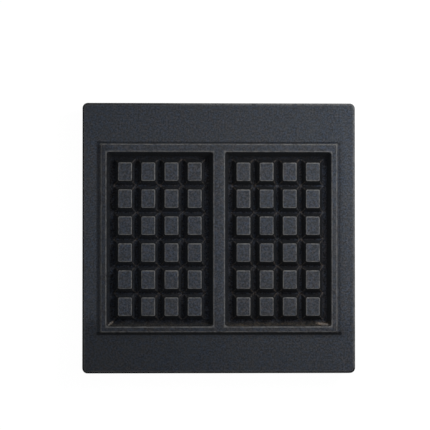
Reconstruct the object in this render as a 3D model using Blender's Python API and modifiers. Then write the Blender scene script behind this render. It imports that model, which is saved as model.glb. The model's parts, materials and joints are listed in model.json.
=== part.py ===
"""Lower baking plate of a counter-top waffle iron, with heater and switches clamped to its underside.

Metres, +Z up, +X to the right and +Y to the back. The origin is under the plate's centre, level with the
feet of its four mounting pillars.
"""

import math

import bmesh
import bpy
from mathutils import Matrix, Vector

MM = 0.001

# Clearance between pieces that touch
GAP = 0.3 * MM
# How far a piece of a union or a cut runs into or past the face it meets
SINK = 1.0 * MM
# Points closer than this become one
WELD = 0.01 * MM

# Casting: outline, margin and skirt
PLATE_WIDTH = 257.0 * MM
PLATE_DEPTH = 254.4 * MM
PLATE_HEIGHT = 38.0 * MM
PLATE_CORNER = 5.0 * MM
PLATE_EDGE_ROUND = 1.2 * MM
MARGIN_THICKNESS = 5.0 * MM
SKIRT_DEPTH = 20.0 * MM
SKIRT_WALL = 4.5 * MM
SKIRT_DRAFT = 0.7 * MM

# Raised frame around the pockets
LAND_RISE = 2.2 * MM
LAND_SIDE = 5.4 * MM
LAND_END = 6.25 * MM
LAND_BAR = 11.1 * MM
LAND_CORNER = 2.2 * MM
LAND_FLARE_X = 2.6 * MM
LAND_FLARE_Y = 1.6 * MM
LAND_EDGE_ROUND = 0.6 * MM

# Pockets
POCKET_WIDTH = 100.4 * MM
POCKET_LENGTH = 164.3 * MM
POCKET_DEPTH = 13.5 * MM
POCKET_DRAFT = 4.9 * MM
POCKET_CORNER = 2.4 * MM
POCKET_FOOT_FILLET = 1.2 * MM
POCKET_RIM_ROUND = 0.6 * MM
POCKET_FLOOR = 7.0 * MM
POCKET_Y = -1.1 * MM

# Pegs that make the hollows of the waffle
PEG_COLUMNS = 4
PEG_ROWS = 6
PEG_WIDTH = 13.2 * MM
PEG_LENGTH = 17.5 * MM
PEG_PITCH_X = 21.85 * MM
PEG_PITCH_Y = 25.4 * MM
PEG_DROP = 1.5 * MM
PEG_DRAFT = 3.3 * MM
PEG_CORNER = 1.5 * MM
PEG_EDGE_ROUND = 0.9 * MM

# Core block that carries the pockets
CORE_DRAFT = 1.8 * MM
CORE_CORNER = 4.0 * MM
CORE_EDGE_ROUND = 1.5 * MM

# Pillars under the margin and the ribs that tie them to the skirt
RIB_THICKNESS = 4.0 * MM
RIB_DEPTH = 6.5 * MM
PILLAR_INSET_X = 23.5 * MM
PILLAR_INSET_Y = 21.2 * MM
PILLAR_FOOT_RADIUS = 7.0 * MM
PILLAR_ROOT_RADIUS = 8.5 * MM
PILLAR_HOLE_RADIUS = 2.5 * MM
PILLAR_HOLE_DEPTH = 16.0 * MM

# Tubular heater, laid as a snake with four straight runs
TUBE_RADIUS = 4.0 * MM
TUBE_SEAT_DEPTH = 3.0 * MM
RUN_SPACING = 52.0 * MM
BEND_FRONT_INSET = 34.4 * MM
BEND_REAR_INSET = 38.4 * MM
TUBE_END_INSET = 28.2 * MM
BEND_STEPS = 10
TUBE_ROUNDNESS = 4

# Heater terminals
BUSH_RADIUS = 4.5 * MM
BUSH_LENGTH = 7.0 * MM
BUSH_COLLAR_RADIUS = 2.9 * MM
BUSH_COLLAR_LENGTH = 2.5 * MM
PIN_RADIUS = 1.5 * MM
PIN_SUNK = 5.0 * MM
PIN_OUT = 9.0 * MM
PIN_WASHER_RADIUS = 3.6 * MM
PIN_WASHER_THICKNESS = 0.8 * MM
PIN_NUT_ACROSS_FLATS = 6.0 * MM
PIN_NUT_THICKNESS = 2.6 * MM

# Clamp bars that hold the heater up
BAR_Y = 46.0 * MM
BAR_OVERHANG = 12.0 * MM
BAR_WIDTH = 18.0 * MM
BAR_SHEET = 2.0 * MM
BAR_FLANGE = 6.5 * MM
BAR_BEND = 2.2 * MM

# Hexagon screws of the clamp bars
SCREW_RADIUS = 3.0 * MM
SCREW_BITE = 7.0 * MM
SCREW_HEAD_ACROSS_FLATS = 10.0 * MM
SCREW_HEAD_HEIGHT = 4.0 * MM
SCREW_WASHER_RADIUS = 6.0 * MM
SCREW_WASHER_THICKNESS = 1.6 * MM
CLAMP_BOSS_RADIUS = 7.0 * MM
CLAMP_BOSS_HEIGHT = 4.0 * MM

# Small cheese-head screws of the switches
SMALL_SCREW_RADIUS = 1.5 * MM
SMALL_SCREW_BITE = 4.0 * MM
SMALL_HEAD_RADIUS = 3.0 * MM
SMALL_HEAD_HEIGHT = 2.2 * MM
SLOT_WIDTH = 0.8 * MM
SLOT_DEPTH = 1.0 * MM
SMALL_BOSS_RADIUS = 3.6 * MM

# Bimetal control thermostat
STRIP_WIDTH = 12.0 * MM
STACK_Y = 18.0 * MM
STACK_END = 7.0 * MM
FRAME_SHEET = 1.5 * MM
FRAME_BEND = 1.6 * MM
FRAME_FOOT_Y = -28.0 * MM
FRAME_FOOT_LENGTH = 11.0 * MM
FRAME_BOSS_HEIGHT = 2.0 * MM
BIMETAL_THICKNESS = 0.8 * MM
BIMETAL_CLEARANCE = 2.0 * MM
BIMETAL_REACH = 30.0 * MM
BIMETAL_CORNER = 1.5 * MM
LEAF_THICKNESS = 0.5 * MM
LEAF_WIDTH = 7.0 * MM
LEAF_CORNER = 1.0 * MM
LEAF_REACH = 26.0 * MM
LEAF_TAIL = 15.0 * MM
CONTACT_RADIUS = 2.0 * MM
CONTACT_REACH = 12.0 * MM
INSULATOR_RADIUS = 5.0 * MM
INSULATOR_HEIGHT = 2.2 * MM
RIVET_RADIUS = 1.6 * MM
RIVET_HEAD_RADIUS = 2.8 * MM
RIVET_HEAD_HEIGHT = 0.9 * MM
BEAD_RADIUS = 1.5 * MM
SPINDLE_REACH = 22.0 * MM
SPINDLE_RADIUS = 2.0 * MM
SPINDLE_OUT = 1.6 * MM
NUT_RADIUS = 4.2 * MM
NUT_BARREL_RADIUS = 3.0 * MM
NUT_FLANGE = 0.9 * MM
NUT_BARREL = 2.0 * MM

# Safety cut-out with a reset button
CUTOUT_Y = 0.0 * MM
CUTOUT_CAP_HEIGHT = 2.4 * MM
CUTOUT_CAP_ROUND = 0.8 * MM
CUTOUT_BODY_RADIUS = 7.6 * MM
CUTOUT_BODY_HEIGHT = 6.0 * MM
CUTOUT_STRAP_SHEET = 0.9 * MM
CUTOUT_STRAP_WIDTH = 9.0 * MM
CUTOUT_SCREW_SPACING = 23.8 * MM
CUTOUT_TAB_WIDTH = 4.8 * MM
CUTOUT_TAB_THICKNESS = 0.8 * MM
CUTOUT_TAB_LENGTH = 8.0 * MM
CUTOUT_TAB_SUNK = 3.0 * MM
CUTOUT_TAB_RISE = 2.0 * MM
CUTOUT_TAB_HOLE_RADIUS = 0.8 * MM
CUTOUT_COLLAR_RADIUS = 3.6 * MM
CUTOUT_COLLAR_HEIGHT = 1.6 * MM
BUTTON_RADIUS = 2.0 * MM
BUTTON_OUT = 1.5 * MM
BUTTON_TRAVEL = 1.2 * MM
BUTTON_SUNK = 4.0 * MM
BUTTON_ROUND = 0.6 * MM

# Earth stud at the back
EARTH_X = 0.0 * MM
EARTH_INSET = 21.2 * MM
EARTH_BOSS_RADIUS = 6.0 * MM
EARTH_BOSS_HEIGHT = 7.0 * MM
EARTH_STUD_RADIUS = 2.5 * MM
EARTH_STUD_BITE = 6.0 * MM
EARTH_STUD_OUT = 9.5 * MM
EARTH_TAB_WIDTH = 9.0 * MM
EARTH_TAB_SHEET = 1.0 * MM
EARTH_TAB_LENGTH = 17.0 * MM
EARTH_NUT_ACROSS_FLATS = 8.0 * MM
EARTH_NUT_THICKNESS = 4.0 * MM
EARTH_WASHER_RADIUS = 5.0 * MM
EARTH_WASHER_THICKNESS = 1.0 * MM

# Straight bit left at the tip of a strip whose end is round
END_FLAT = 0.5 * MM

# Sides of round pieces
LARGE_SIDES = 24
SMALL_SIDES = 16
CORNER_STEPS = 2

# Edges sharper than these are drawn sharp, or are bends of a sheet
SHARP_ANGLE = math.radians(35)
BEND_ANGLE = math.radians(40)

# Heights that follow from the sizes above
MARGIN_Z = PLATE_HEIGHT - LAND_RISE
MARGIN_UNDER_Z = MARGIN_Z - MARGIN_THICKNESS
SKIRT_RIM_Z = MARGIN_Z - SKIRT_DEPTH
POCKET_FLOOR_Z = PLATE_HEIGHT - POCKET_DEPTH
PEG_TOP_Z = PLATE_HEIGHT - PEG_DROP
CORE_UNDER_Z = POCKET_FLOOR_Z - POCKET_FLOOR
TUBE_Z = CORE_UNDER_Z + TUBE_SEAT_DEPTH - TUBE_RADIUS - GAP
BAR_TOP_Z = TUBE_Z - TUBE_RADIUS - GAP
BAR_UNDER_Z = BAR_TOP_Z - BAR_SHEET

# Plan sizes that follow from the sizes above
POCKET_X = (LAND_BAR + POCKET_WIDTH) / 2
LAND_HALF_X = LAND_BAR / 2 + POCKET_WIDTH + LAND_SIDE
LAND_HALF_Y = POCKET_LENGTH / 2 + LAND_END
PILLAR_X = PLATE_WIDTH / 2 - PILLAR_INSET_X
PILLAR_Y = PLATE_DEPTH / 2 - PILLAR_INSET_Y
OUTER_RUN_X = 1.5 * RUN_SPACING
BEND_FRONT_Y = BEND_FRONT_INSET - LAND_HALF_Y
BEND_REAR_Y = LAND_HALF_Y - BEND_REAR_INSET
TUBE_END_Y = PLATE_DEPTH / 2 - TUBE_END_INSET
EARTH_Y = PLATE_DEPTH / 2 - EARTH_INSET
CUTOUT_X = -RUN_SPACING
CUTOUT_CAP_RADIUS = CUTOUT_SCREW_SPACING / 2 - SMALL_BOSS_RADIUS - GAP

PARTS = "waffle_iron_plate"
CUTTERS = "cutters"


def clear_scene():
    for scene_object in list(bpy.data.objects):
        bpy.data.objects.remove(scene_object, do_unlink=True)


def make_collection(name, hidden=False):
    collection = bpy.data.collections.new(name)
    bpy.context.scene.collection.children.link(collection)
    collection.hide_render = hidden
    return collection


def make_material(name, colour, roughness, metallic):
    material = bpy.data.materials.new(name)
    material.use_nodes = True
    shader = material.node_tree.nodes["Principled BSDF"]
    shader.inputs["Base Color"].default_value = (*colour, 1.0)
    shader.inputs["Roughness"].default_value = roughness
    shader.inputs["Metallic"].default_value = metallic
    return material


# Shapes, each returned as a closed bmesh


def ring(bm, height, half_x, half_y, radius, steps):
    """A closed loop of edges along a rectangle with round corners."""
    verts = []
    for quarter, (side_x, side_y) in enumerate(((1, 1), (-1, 1), (-1, -1), (1, -1))):
        centre = Vector((side_x * (half_x - radius), side_y * (half_y - radius), height))
        for step in range(steps + 1):
            angle = math.pi / 2 * (quarter + step / steps)
            arm = Vector((math.cos(angle), math.sin(angle), 0.0))
            verts.append(bm.verts.new(centre + radius * arm))
    return [bm.edges.new((verts[i - 1], verts[i])) for i in range(len(verts))]


def lofted_block(levels, steps=CORNER_STEPS):
    """A block lofted through levels, each a height, a half width, a half depth and a corner radius."""
    bm = bmesh.new()
    rings = [ring(bm, *level, steps) for level in levels]
    for lower, upper in zip(rings, rings[1:]):
        bmesh.ops.bridge_loops(bm, edges=lower + upper)
    for end in (rings[0], rings[-1]):
        bmesh.ops.edgeloop_fill(bm, edges=end)
    bmesh.ops.recalc_face_normals(bm, faces=bm.faces)
    return bm


def edge_round(height, half_x, half_y, corner, radius, steps=2):
    """Levels that round a block's top edge, from its wall to its top face."""
    levels = []
    for step in range(steps + 1):
        angle = math.pi / 2 * step / steps
        inset = radius * (1 - math.cos(angle))
        rise = radius * (1 - math.sin(angle))
        levels.append((height - rise, half_x - inset, half_y - inset, corner - inset))
    return levels


def cylinder(radius, bottom, top, centre=(0.0, 0.0), sides=SMALL_SIDES, top_radius=None):
    """An upright cylinder or cone between two heights."""
    bm = bmesh.new()
    place = Matrix.Translation((centre[0], centre[1], (bottom + top) / 2))
    bmesh.ops.create_cone(
        bm,
        cap_ends=True,
        segments=sides,
        radius1=radius,
        radius2=radius if top_radius is None else top_radius,
        depth=top - bottom,
        matrix=place,
    )
    return bm


def hexagon(across_flats, bottom, top):
    return cylinder(across_flats / math.sqrt(3), bottom, top, sides=6)


def cuboid(low, high):
    """A box from its lowest corner to its highest."""
    bm = bmesh.new()
    size = [b - a for a, b in zip(low, high)]
    centre = [(a + b) / 2 for a, b in zip(low, high)]
    place = Matrix.Translation(centre) @ Matrix.Diagonal((*size, 1.0))
    bmesh.ops.create_cube(bm, size=1.0, matrix=place)
    return bm


def rounded_plate(half_x, half_y, corner, bottom, top, centre=(0.0, 0.0), steps=3):
    """A flat plate with round corners."""
    bm = lofted_block([(bottom, half_x, half_y, corner), (top, half_x, half_y, corner)], steps)
    bmesh.ops.translate(bm, vec=(*centre, 0.0), verts=bm.verts)
    return bm


def merged(shapes):
    """Several separate shapes in one bmesh."""
    bm = bmesh.new()
    for shape in shapes:
        mesh = bpy.data.meshes.new("merged")
        shape.to_mesh(mesh)
        shape.free()
        bm.from_mesh(mesh)
        bpy.data.meshes.remove(mesh)
    return bm


# Objects


def object_from(name, bm, collection):
    mesh = bpy.data.meshes.new(name)
    bm.to_mesh(mesh)
    bm.free()
    mesh.shade_smooth()
    mesh.set_sharp_from_angle(angle=SHARP_ANGLE)
    made = bpy.data.objects.new(name, mesh)
    bpy.data.collections[collection].objects.link(made)
    return made


def add_part(name, bm, material):
    part = object_from(name, bm, PARTS)
    part.data.materials.append(material)
    return part


def add_boolean(part, operation, tool):
    modifier = part.modifiers.new(tool.name, "BOOLEAN")
    modifier.operation = operation
    modifier.solver = "EXACT"
    modifier.object = tool


def add_tool(part, operation, name, bm):
    """Joins a shape to a part, or cuts it from the part."""
    tool = object_from(f"{part.name}_{name}", bm, CUTTERS)
    tool.hide_render = True
    tool.display_type = "WIRE"
    add_boolean(part, operation, tool)


def join(part, name, bm):
    add_tool(part, "UNION", name, bm)


def cut(part, name, bm):
    add_tool(part, "DIFFERENCE", name, bm)


def evaluated_mesh(part):
    graph = bpy.context.evaluated_depsgraph_get()
    return bpy.data.meshes.new_from_object(part.evaluated_get(graph))


def settle(part):
    """Makes a part's modifiers real, so that its copies can share the mesh, and removes its tools."""
    mesh = evaluated_mesh(part)
    tools = [modifier.object for modifier in part.modifiers if modifier.type == "BOOLEAN"]
    part.modifiers.clear()
    part.data = mesh
    for tool in tools:
        bpy.data.objects.remove(tool, do_unlink=True)


def add_copy(name, original, place):
    copy = bpy.data.objects.new(name, original.data)
    bpy.data.collections[PARTS].objects.link(copy)
    copy.rotation_euler = original.rotation_euler
    copy.location = place
    return copy


# Places that several pieces share


def peg_centres():
    """Plan centres of every peg in both pockets."""
    for side in (-1, 1):
        for column in range(PEG_COLUMNS):
            for row in range(PEG_ROWS):
                x = side * POCKET_X + (column - (PEG_COLUMNS - 1) / 2) * PEG_PITCH_X
                y = POCKET_Y + (row - (PEG_ROWS - 1) / 2) * PEG_PITCH_Y
                yield x, y


def clamp_places():
    """Name ending and plan place of every clamp screw."""
    for row, y in (("front", -BAR_Y), ("rear", BAR_Y)):
        for column, x in (("left", -RUN_SPACING), ("centre", 0.0), ("right", RUN_SPACING)):
            yield f"{row}_{column}", x, y


def cutout_screw_places():
    for end, side in (("front", -1), ("rear", 1)):
        yield end, CUTOUT_X, CUTOUT_Y + side * CUTOUT_SCREW_SPACING / 2


def heater_route():
    """Points of the heater's centre line, from its left end to its right end."""
    x = -OUTER_RUN_X
    points = [Vector((x, TUBE_END_Y, TUBE_Z))]
    for bend, (centre_y, turn) in enumerate(((BEND_FRONT_Y, 1), (BEND_REAR_Y, -1), (BEND_FRONT_Y, 1))):
        centre = Vector((x + (bend + 0.5) * RUN_SPACING, centre_y, TUBE_Z))
        for step in range(BEND_STEPS + 1):
            angle = math.pi * (1 + turn * step / BEND_STEPS)
            arm = Vector((math.cos(angle), math.sin(angle), 0.0))
            points.append(centre + RUN_SPACING / 2 * arm)
    points.append(Vector((-x, TUBE_END_Y, TUBE_Z)))
    return points


def swept_tube(points, radius):
    """A closed mesh of a round tube along points."""
    curve = bpy.data.curves.new("tube", "CURVE")
    curve.dimensions = "3D"
    curve.bevel_depth = radius
    curve.bevel_resolution = TUBE_ROUNDNESS
    curve.use_fill_caps = True
    spline = curve.splines.new("POLY")
    spline.points.add(len(points) - 1)
    for place, point in zip(spline.points, points):
        place.co = (*point, 1.0)
    guide = bpy.data.objects.new("tube", curve)
    bpy.data.collections[CUTTERS].objects.link(guide)
    mesh = evaluated_mesh(guide)
    bpy.data.objects.remove(guide, do_unlink=True)
    bm = bmesh.new()
    bm.from_mesh(mesh)
    bpy.data.meshes.remove(mesh)
    bmesh.ops.remove_doubles(bm, verts=bm.verts, dist=WELD)
    bmesh.ops.recalc_face_normals(bm, faces=bm.faces)
    return bm


# Casting


def plate_body():
    """Margin and skirt as one solid block."""
    half_x = PLATE_WIDTH / 2
    half_y = PLATE_DEPTH / 2
    foot = (SKIRT_RIM_Z, half_x - SKIRT_DRAFT, half_y - SKIRT_DRAFT, PLATE_CORNER)
    rim = edge_round(MARGIN_Z, half_x, half_y, PLATE_CORNER, PLATE_EDGE_ROUND)
    return lofted_block([foot, *rim], steps=4)


def skirt_hollow():
    """Space inside the skirt, under the margin."""
    half_x = PLATE_WIDTH / 2 - SKIRT_WALL
    half_y = PLATE_DEPTH / 2 - SKIRT_WALL
    mouth = (SKIRT_RIM_Z - SINK, half_x, half_y, PLATE_CORNER)
    roof = edge_round(
        MARGIN_UNDER_Z, half_x - SKIRT_DRAFT, half_y - SKIRT_DRAFT, PLATE_CORNER, CORE_EDGE_ROUND
    )
    return lofted_block([mouth, *roof], steps=3)


def core_block():
    """Block under the raised frame that the pockets are sunk in."""
    half_x = LAND_HALF_X - CORE_DRAFT
    half_y = LAND_HALF_Y - CORE_DRAFT
    under = edge_round(-CORE_UNDER_Z, half_x, half_y, CORE_CORNER, CORE_EDGE_ROUND)
    levels = [(-height, *sizes) for height, *sizes in reversed(under)]
    root = (MARGIN_UNDER_Z + SINK, LAND_HALF_X, LAND_HALF_Y, CORE_CORNER)
    return lofted_block([*levels, root])


def raised_frame():
    """Land that stands proud of the margin around both pockets, with hollow flanks that flare out."""
    levels = []
    for rise, flare in ((-SINK, 1.0), (0.0, 1.0), (0.15 * LAND_RISE, 0.6), (LAND_RISE - LAND_EDGE_ROUND, 0.0)):
        half_x = LAND_HALF_X + flare * LAND_FLARE_X
        half_y = LAND_HALF_Y + flare * LAND_FLARE_Y
        levels.append((MARGIN_Z + rise, half_x, half_y, LAND_CORNER + flare * LAND_FLARE_Y))
    top = edge_round(PLATE_HEIGHT, LAND_HALF_X, LAND_HALF_Y, LAND_CORNER, LAND_EDGE_ROUND)
    return lofted_block([*levels, *top[1:]])


def pocket_space(side):
    """Space of one pocket, wider towards its rim and rounded out over the land."""
    half_x = POCKET_WIDTH / 2
    half_y = POCKET_LENGTH / 2
    slope = POCKET_DRAFT / POCKET_DEPTH
    foot_x = half_x - POCKET_DRAFT
    foot_y = half_y - POCKET_DRAFT
    fillet = POCKET_FOOT_FILLET
    corner = POCKET_CORNER
    spread = fillet * slope
    levels = [
        (POCKET_FLOOR_Z, foot_x - fillet, foot_y - fillet, corner - fillet / 2),
        (POCKET_FLOOR_Z + fillet / 4, foot_x - fillet / 4, foot_y - fillet / 4, corner),
        (POCKET_FLOOR_Z + fillet, foot_x + spread, foot_y + spread, corner),
    ]
    for height, *sizes in edge_round(PLATE_HEIGHT, half_x, half_y, corner, POCKET_RIM_ROUND):
        levels.append((height, *(2 * size - wall for size, wall in zip((half_x, half_y, corner), sizes))))
    levels.append((PLATE_HEIGHT + SINK, *levels[-1][1:]))
    bm = lofted_block(levels)
    bmesh.ops.translate(bm, vec=(side * POCKET_X, POCKET_Y, 0.0), verts=bm.verts)
    return bm


def peg(centre):
    """One tapered peg, rounded at its corners and its top edge."""
    half_x = PEG_WIDTH / 2
    half_y = PEG_LENGTH / 2
    height = PEG_TOP_Z - POCKET_FLOOR_Z
    spread = PEG_DRAFT * (height + SINK) / height
    foot = (POCKET_FLOOR_Z - SINK, half_x + spread, half_y + spread, PEG_CORNER)
    top = edge_round(PEG_TOP_Z, half_x, half_y, PEG_CORNER, PEG_EDGE_ROUND)
    bm = lofted_block([foot, *top])
    bmesh.ops.translate(bm, vec=(*centre, 0.0), verts=bm.verts)
    return bm


def ribs():
    """Ribs that tie each pillar to the skirt under the margin: those across the plate and those along it."""
    low = MARGIN_UNDER_Z - RIB_DEPTH
    high = MARGIN_UNDER_Z + SINK
    skirt_x = PLATE_WIDTH / 2 - SKIRT_WALL + SINK
    skirt_y = PLATE_DEPTH / 2 - SKIRT_WALL + SINK
    half = RIB_THICKNESS / 2
    across = []
    along = []
    for x, y in pillar_places():
        left, right = sorted((x, math.copysign(skirt_x, x)))
        front, rear = sorted((y, math.copysign(skirt_y, y)))
        across.append(cuboid((left, y - half, low), (right, y + half, high)))
        along.append(cuboid((x - half, front, low), (x + half, rear, high)))
    return merged(across), merged(along)


def pillar_places():
    return [(side_x * PILLAR_X, side_y * PILLAR_Y) for side_x in (-1, 1) for side_y in (-1, 1)]


def pillars():
    top = MARGIN_UNDER_Z + SINK
    shapes = [
        cylinder(PILLAR_FOOT_RADIUS, 0.0, top, place, SMALL_SIDES, PILLAR_ROOT_RADIUS)
        for place in pillar_places()
    ]
    return merged(shapes)


def bosses():
    """Round seats under the core and the margin that the screws and the earth stud bite into."""
    top = CORE_UNDER_Z + SINK
    clamp_low = CORE_UNDER_Z - CLAMP_BOSS_HEIGHT
    shapes = [cylinder(CLAMP_BOSS_RADIUS, clamp_low, top, (x, y)) for _, x, y in clamp_places()]
    frame_low = CORE_UNDER_Z - FRAME_BOSS_HEIGHT
    shapes.append(cylinder(SMALL_BOSS_RADIUS, frame_low, top, (0.0, FRAME_FOOT_Y)))
    for _, x, y in cutout_screw_places():
        shapes.append(cylinder(SMALL_BOSS_RADIUS, CORE_UNDER_Z - CUTOUT_CAP_HEIGHT, top, (x, y)))
    earth_top = MARGIN_UNDER_Z + SINK
    earth_low = MARGIN_UNDER_Z - EARTH_BOSS_HEIGHT
    shapes.append(cylinder(EARTH_BOSS_RADIUS, earth_low, earth_top, (EARTH_X, EARTH_Y)))
    return merged(shapes)


def fixing_holes():
    """Blind holes of the pillars, the screws and the earth stud."""
    below = -SINK
    shapes = [cylinder(PILLAR_HOLE_RADIUS, below, PILLAR_HOLE_DEPTH, place) for place in pillar_places()]
    clamp_low = CORE_UNDER_Z - CLAMP_BOSS_HEIGHT
    for _, x, y in clamp_places():
        shapes.append(cylinder(SCREW_RADIUS + GAP, clamp_low - SINK, clamp_low + SCREW_BITE + GAP, (x, y)))
    frame_low = CORE_UNDER_Z - FRAME_BOSS_HEIGHT
    small_holes = [(0.0, FRAME_FOOT_Y, frame_low)]
    small_holes += [(x, y, CORE_UNDER_Z - CUTOUT_CAP_HEIGHT) for _, x, y in cutout_screw_places()]
    for x, y, low in small_holes:
        shapes.append(cylinder(SMALL_SCREW_RADIUS + GAP, low - SINK, low + SMALL_SCREW_BITE + GAP, (x, y)))
    earth_low = MARGIN_UNDER_Z - EARTH_BOSS_HEIGHT
    earth_top = earth_low + EARTH_STUD_BITE + GAP
    shapes.append(cylinder(EARTH_STUD_RADIUS + GAP, earth_low - SINK, earth_top, (EARTH_X, EARTH_Y)))
    return merged(shapes)


def add_baking_plate(material):
    plate = add_part("baking_plate", plate_body(), material)
    cut(plate, "skirt_hollow", skirt_hollow())
    join(plate, "core", core_block())
    join(plate, "raised_frame", raised_frame())
    cut(plate, "pockets", merged([pocket_space(-1), pocket_space(1)]))
    join(plate, "pegs", merged([peg(centre) for centre in peg_centres()]))
    join(plate, "pillars", pillars())
    ribs_across, ribs_along = ribs()
    join(plate, "ribs_across", ribs_across)
    join(plate, "ribs_along", ribs_along)
    join(plate, "bosses", bosses())
    cut(plate, "heater_seat", swept_tube(heater_route(), TUBE_RADIUS + GAP))
    cut(plate, "fixing_holes", fixing_holes())
    return plate


# Heater and its terminals


def add_heater(material):
    return add_part("heating_element", swept_tube(heater_route(), TUBE_RADIUS), material)


def add_terminals(ceramic, steel, brass):
    """Bush, pin, washer and nut at both ends of the heater, made upright and laid along +Y."""
    bush = add_part("terminal_bush_left", cylinder(BUSH_RADIUS, 0.0, BUSH_LENGTH), ceramic)
    collar_top = BUSH_LENGTH + BUSH_COLLAR_LENGTH
    join(bush, "collar", cylinder(BUSH_COLLAR_RADIUS, BUSH_LENGTH - SINK, collar_top))
    pin_start = collar_top - PIN_SUNK
    cut(bush, "bore", cylinder(PIN_RADIUS + GAP, pin_start - GAP, collar_top + SINK))
    settle(bush)
    pin = add_part("terminal_pin_left", cylinder(PIN_RADIUS, pin_start, collar_top + PIN_OUT), steel)
    washer_start = collar_top + GAP
    washer_end = washer_start + PIN_WASHER_THICKNESS
    washer = add_part("terminal_washer_left", cylinder(PIN_WASHER_RADIUS, washer_start, washer_end), steel)
    cut(washer, "bore", cylinder(PIN_RADIUS + GAP, washer_start - SINK, washer_end + SINK))
    settle(washer)
    nut_start = washer_end + GAP
    nut_end = nut_start + PIN_NUT_THICKNESS
    nut = add_part("terminal_nut_left", hexagon(PIN_NUT_ACROSS_FLATS, nut_start, nut_end), brass)
    cut(nut, "bore", cylinder(PIN_RADIUS + GAP, nut_start - SINK, nut_end + SINK))
    settle(nut)
    place = Vector((OUTER_RUN_X, TUBE_END_Y + GAP, TUBE_Z))
    for piece in (bush, pin, washer, nut):
        piece.rotation_euler = (-math.pi / 2, 0.0, 0.0)
        piece.location = (-place.x, place.y, place.z)
        add_copy(piece.name.replace("left", "right"), piece, place)


# Clamp bars and their screws


def channel_bar(length):
    """A pressed channel whose flanges point down, as an open sheet that gets its thickness later."""
    half_x = length / 2
    half_y = (BAR_WIDTH - BAR_SHEET) / 2
    web = BAR_TOP_Z - BAR_SHEET / 2
    edge = BAR_TOP_Z - BAR_SHEET - BAR_FLANGE
    bm = bmesh.new()
    bmesh.ops.create_grid(
        bm,
        x_segments=1,
        y_segments=1,
        size=1.0,
        matrix=Matrix.Translation((0.0, 0.0, web)) @ Matrix.Diagonal((half_x, half_y, 1.0, 1.0)),
    )
    for side in (-1, 1):
        bend = [e for e in bm.edges if all(v.co.y * side > half_y / 2 and v.co.z > edge for v in e.verts)]
        flange = bmesh.ops.extrude_edge_only(bm, edges=bend)["geom"]
        for vert in (item for item in flange if isinstance(item, bmesh.types.BMVert)):
            vert.co.z = edge
    bmesh.ops.recalc_face_normals(bm, faces=bm.faces)
    return bm


def add_sheet_thickness(part, thickness, bend):
    """Rounds a sheet's bends and gives it its thickness, half to each side."""
    bevel = part.modifiers.new("bends", "BEVEL")
    bevel.width = bend
    bevel.segments = 3
    bevel.limit_method = "ANGLE"
    bevel.angle_limit = BEND_ANGLE
    solidify = part.modifiers.new("sheet", "SOLIDIFY")
    solidify.thickness = thickness
    solidify.offset = 0.0
    solidify.use_even_offset = True


def add_clamp_bars(material):
    length = 2 * (OUTER_RUN_X + BAR_OVERHANG)
    bar = add_part("clamp_bar_front", channel_bar(length), material)
    add_sheet_thickness(bar, BAR_SHEET, BAR_BEND)
    holes = [
        cylinder(SCREW_RADIUS + GAP, BAR_UNDER_Z - SINK, BAR_TOP_Z + SINK, (side * RUN_SPACING, 0.0))
        for side in (-1, 0, 1)
    ]
    cut(bar, "holes", merged(holes))
    settle(bar)
    bar.location = (0.0, -BAR_Y, 0.0)
    add_copy("clamp_bar_rear", bar, (0.0, BAR_Y, 0.0))


def add_clamp_screws(steel):
    """Hexagon screws and washers, built around a screw axis through the origin."""
    washer_top = BAR_UNDER_Z - GAP
    washer_under = washer_top - SCREW_WASHER_THICKNESS
    head_top = washer_under - GAP
    tip = CORE_UNDER_Z - CLAMP_BOSS_HEIGHT + SCREW_BITE
    head = hexagon(SCREW_HEAD_ACROSS_FLATS, head_top - SCREW_HEAD_HEIGHT, head_top)
    screw = add_part("clamp_screw", head, steel)
    join(screw, "shank", cylinder(SCREW_RADIUS, head_top - SINK, tip))
    settle(screw)
    disc = cylinder(SCREW_WASHER_RADIUS, washer_under, washer_top, sides=LARGE_SIDES)
    washer = add_part("clamp_washer", disc, steel)
    cut(washer, "bore", cylinder(SCREW_RADIUS + GAP, washer_under - SINK, washer_top + SINK))
    settle(washer)
    for piece in (screw, washer):
        for ending, x, y in clamp_places():
            add_copy(f"{piece.name}_{ending}", piece, (x, y, 0.0))
        bpy.data.objects.remove(piece, do_unlink=True)


def slotted_screw(name, seat, tip, material):
    """Cheese-head screw whose head hangs under a seat, built around the origin."""
    head_top = seat - GAP
    head_under = head_top - SMALL_HEAD_HEIGHT
    screw = add_part(name, cylinder(SMALL_HEAD_RADIUS, head_under, head_top), material)
    join(screw, "shank", cylinder(SMALL_SCREW_RADIUS, head_top - SINK, tip))
    reach = SMALL_HEAD_RADIUS + SINK
    half = SLOT_WIDTH / 2
    slot = cuboid((-reach, -half, head_under - SINK), (reach, half, head_under + SLOT_DEPTH))
    cut(screw, "slot", slot)
    settle(screw)
    return screw


# Control thermostat


def stack_heights():
    """Top of each layer of the thermostat's stack, from the plate down."""
    heights = {}
    top = CORE_UNDER_Z - BIMETAL_CLEARANCE
    layers = (
        ("bimetal", BIMETAL_THICKNESS),
        ("insulator_upper", INSULATOR_HEIGHT),
        ("leaf_upper", LEAF_THICKNESS),
        ("insulator_middle", INSULATOR_HEIGHT),
        ("leaf_lower", LEAF_THICKNESS),
        ("insulator_lower", INSULATOR_HEIGHT),
        ("frame", FRAME_SHEET),
    )
    for name, thickness in layers:
        heights[name] = top
        top -= thickness + GAP
    return heights


def rivet_hole(top, thickness):
    return cylinder(RIVET_RADIUS + GAP, top - thickness - SINK, top + SINK, (0.0, STACK_Y))


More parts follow.
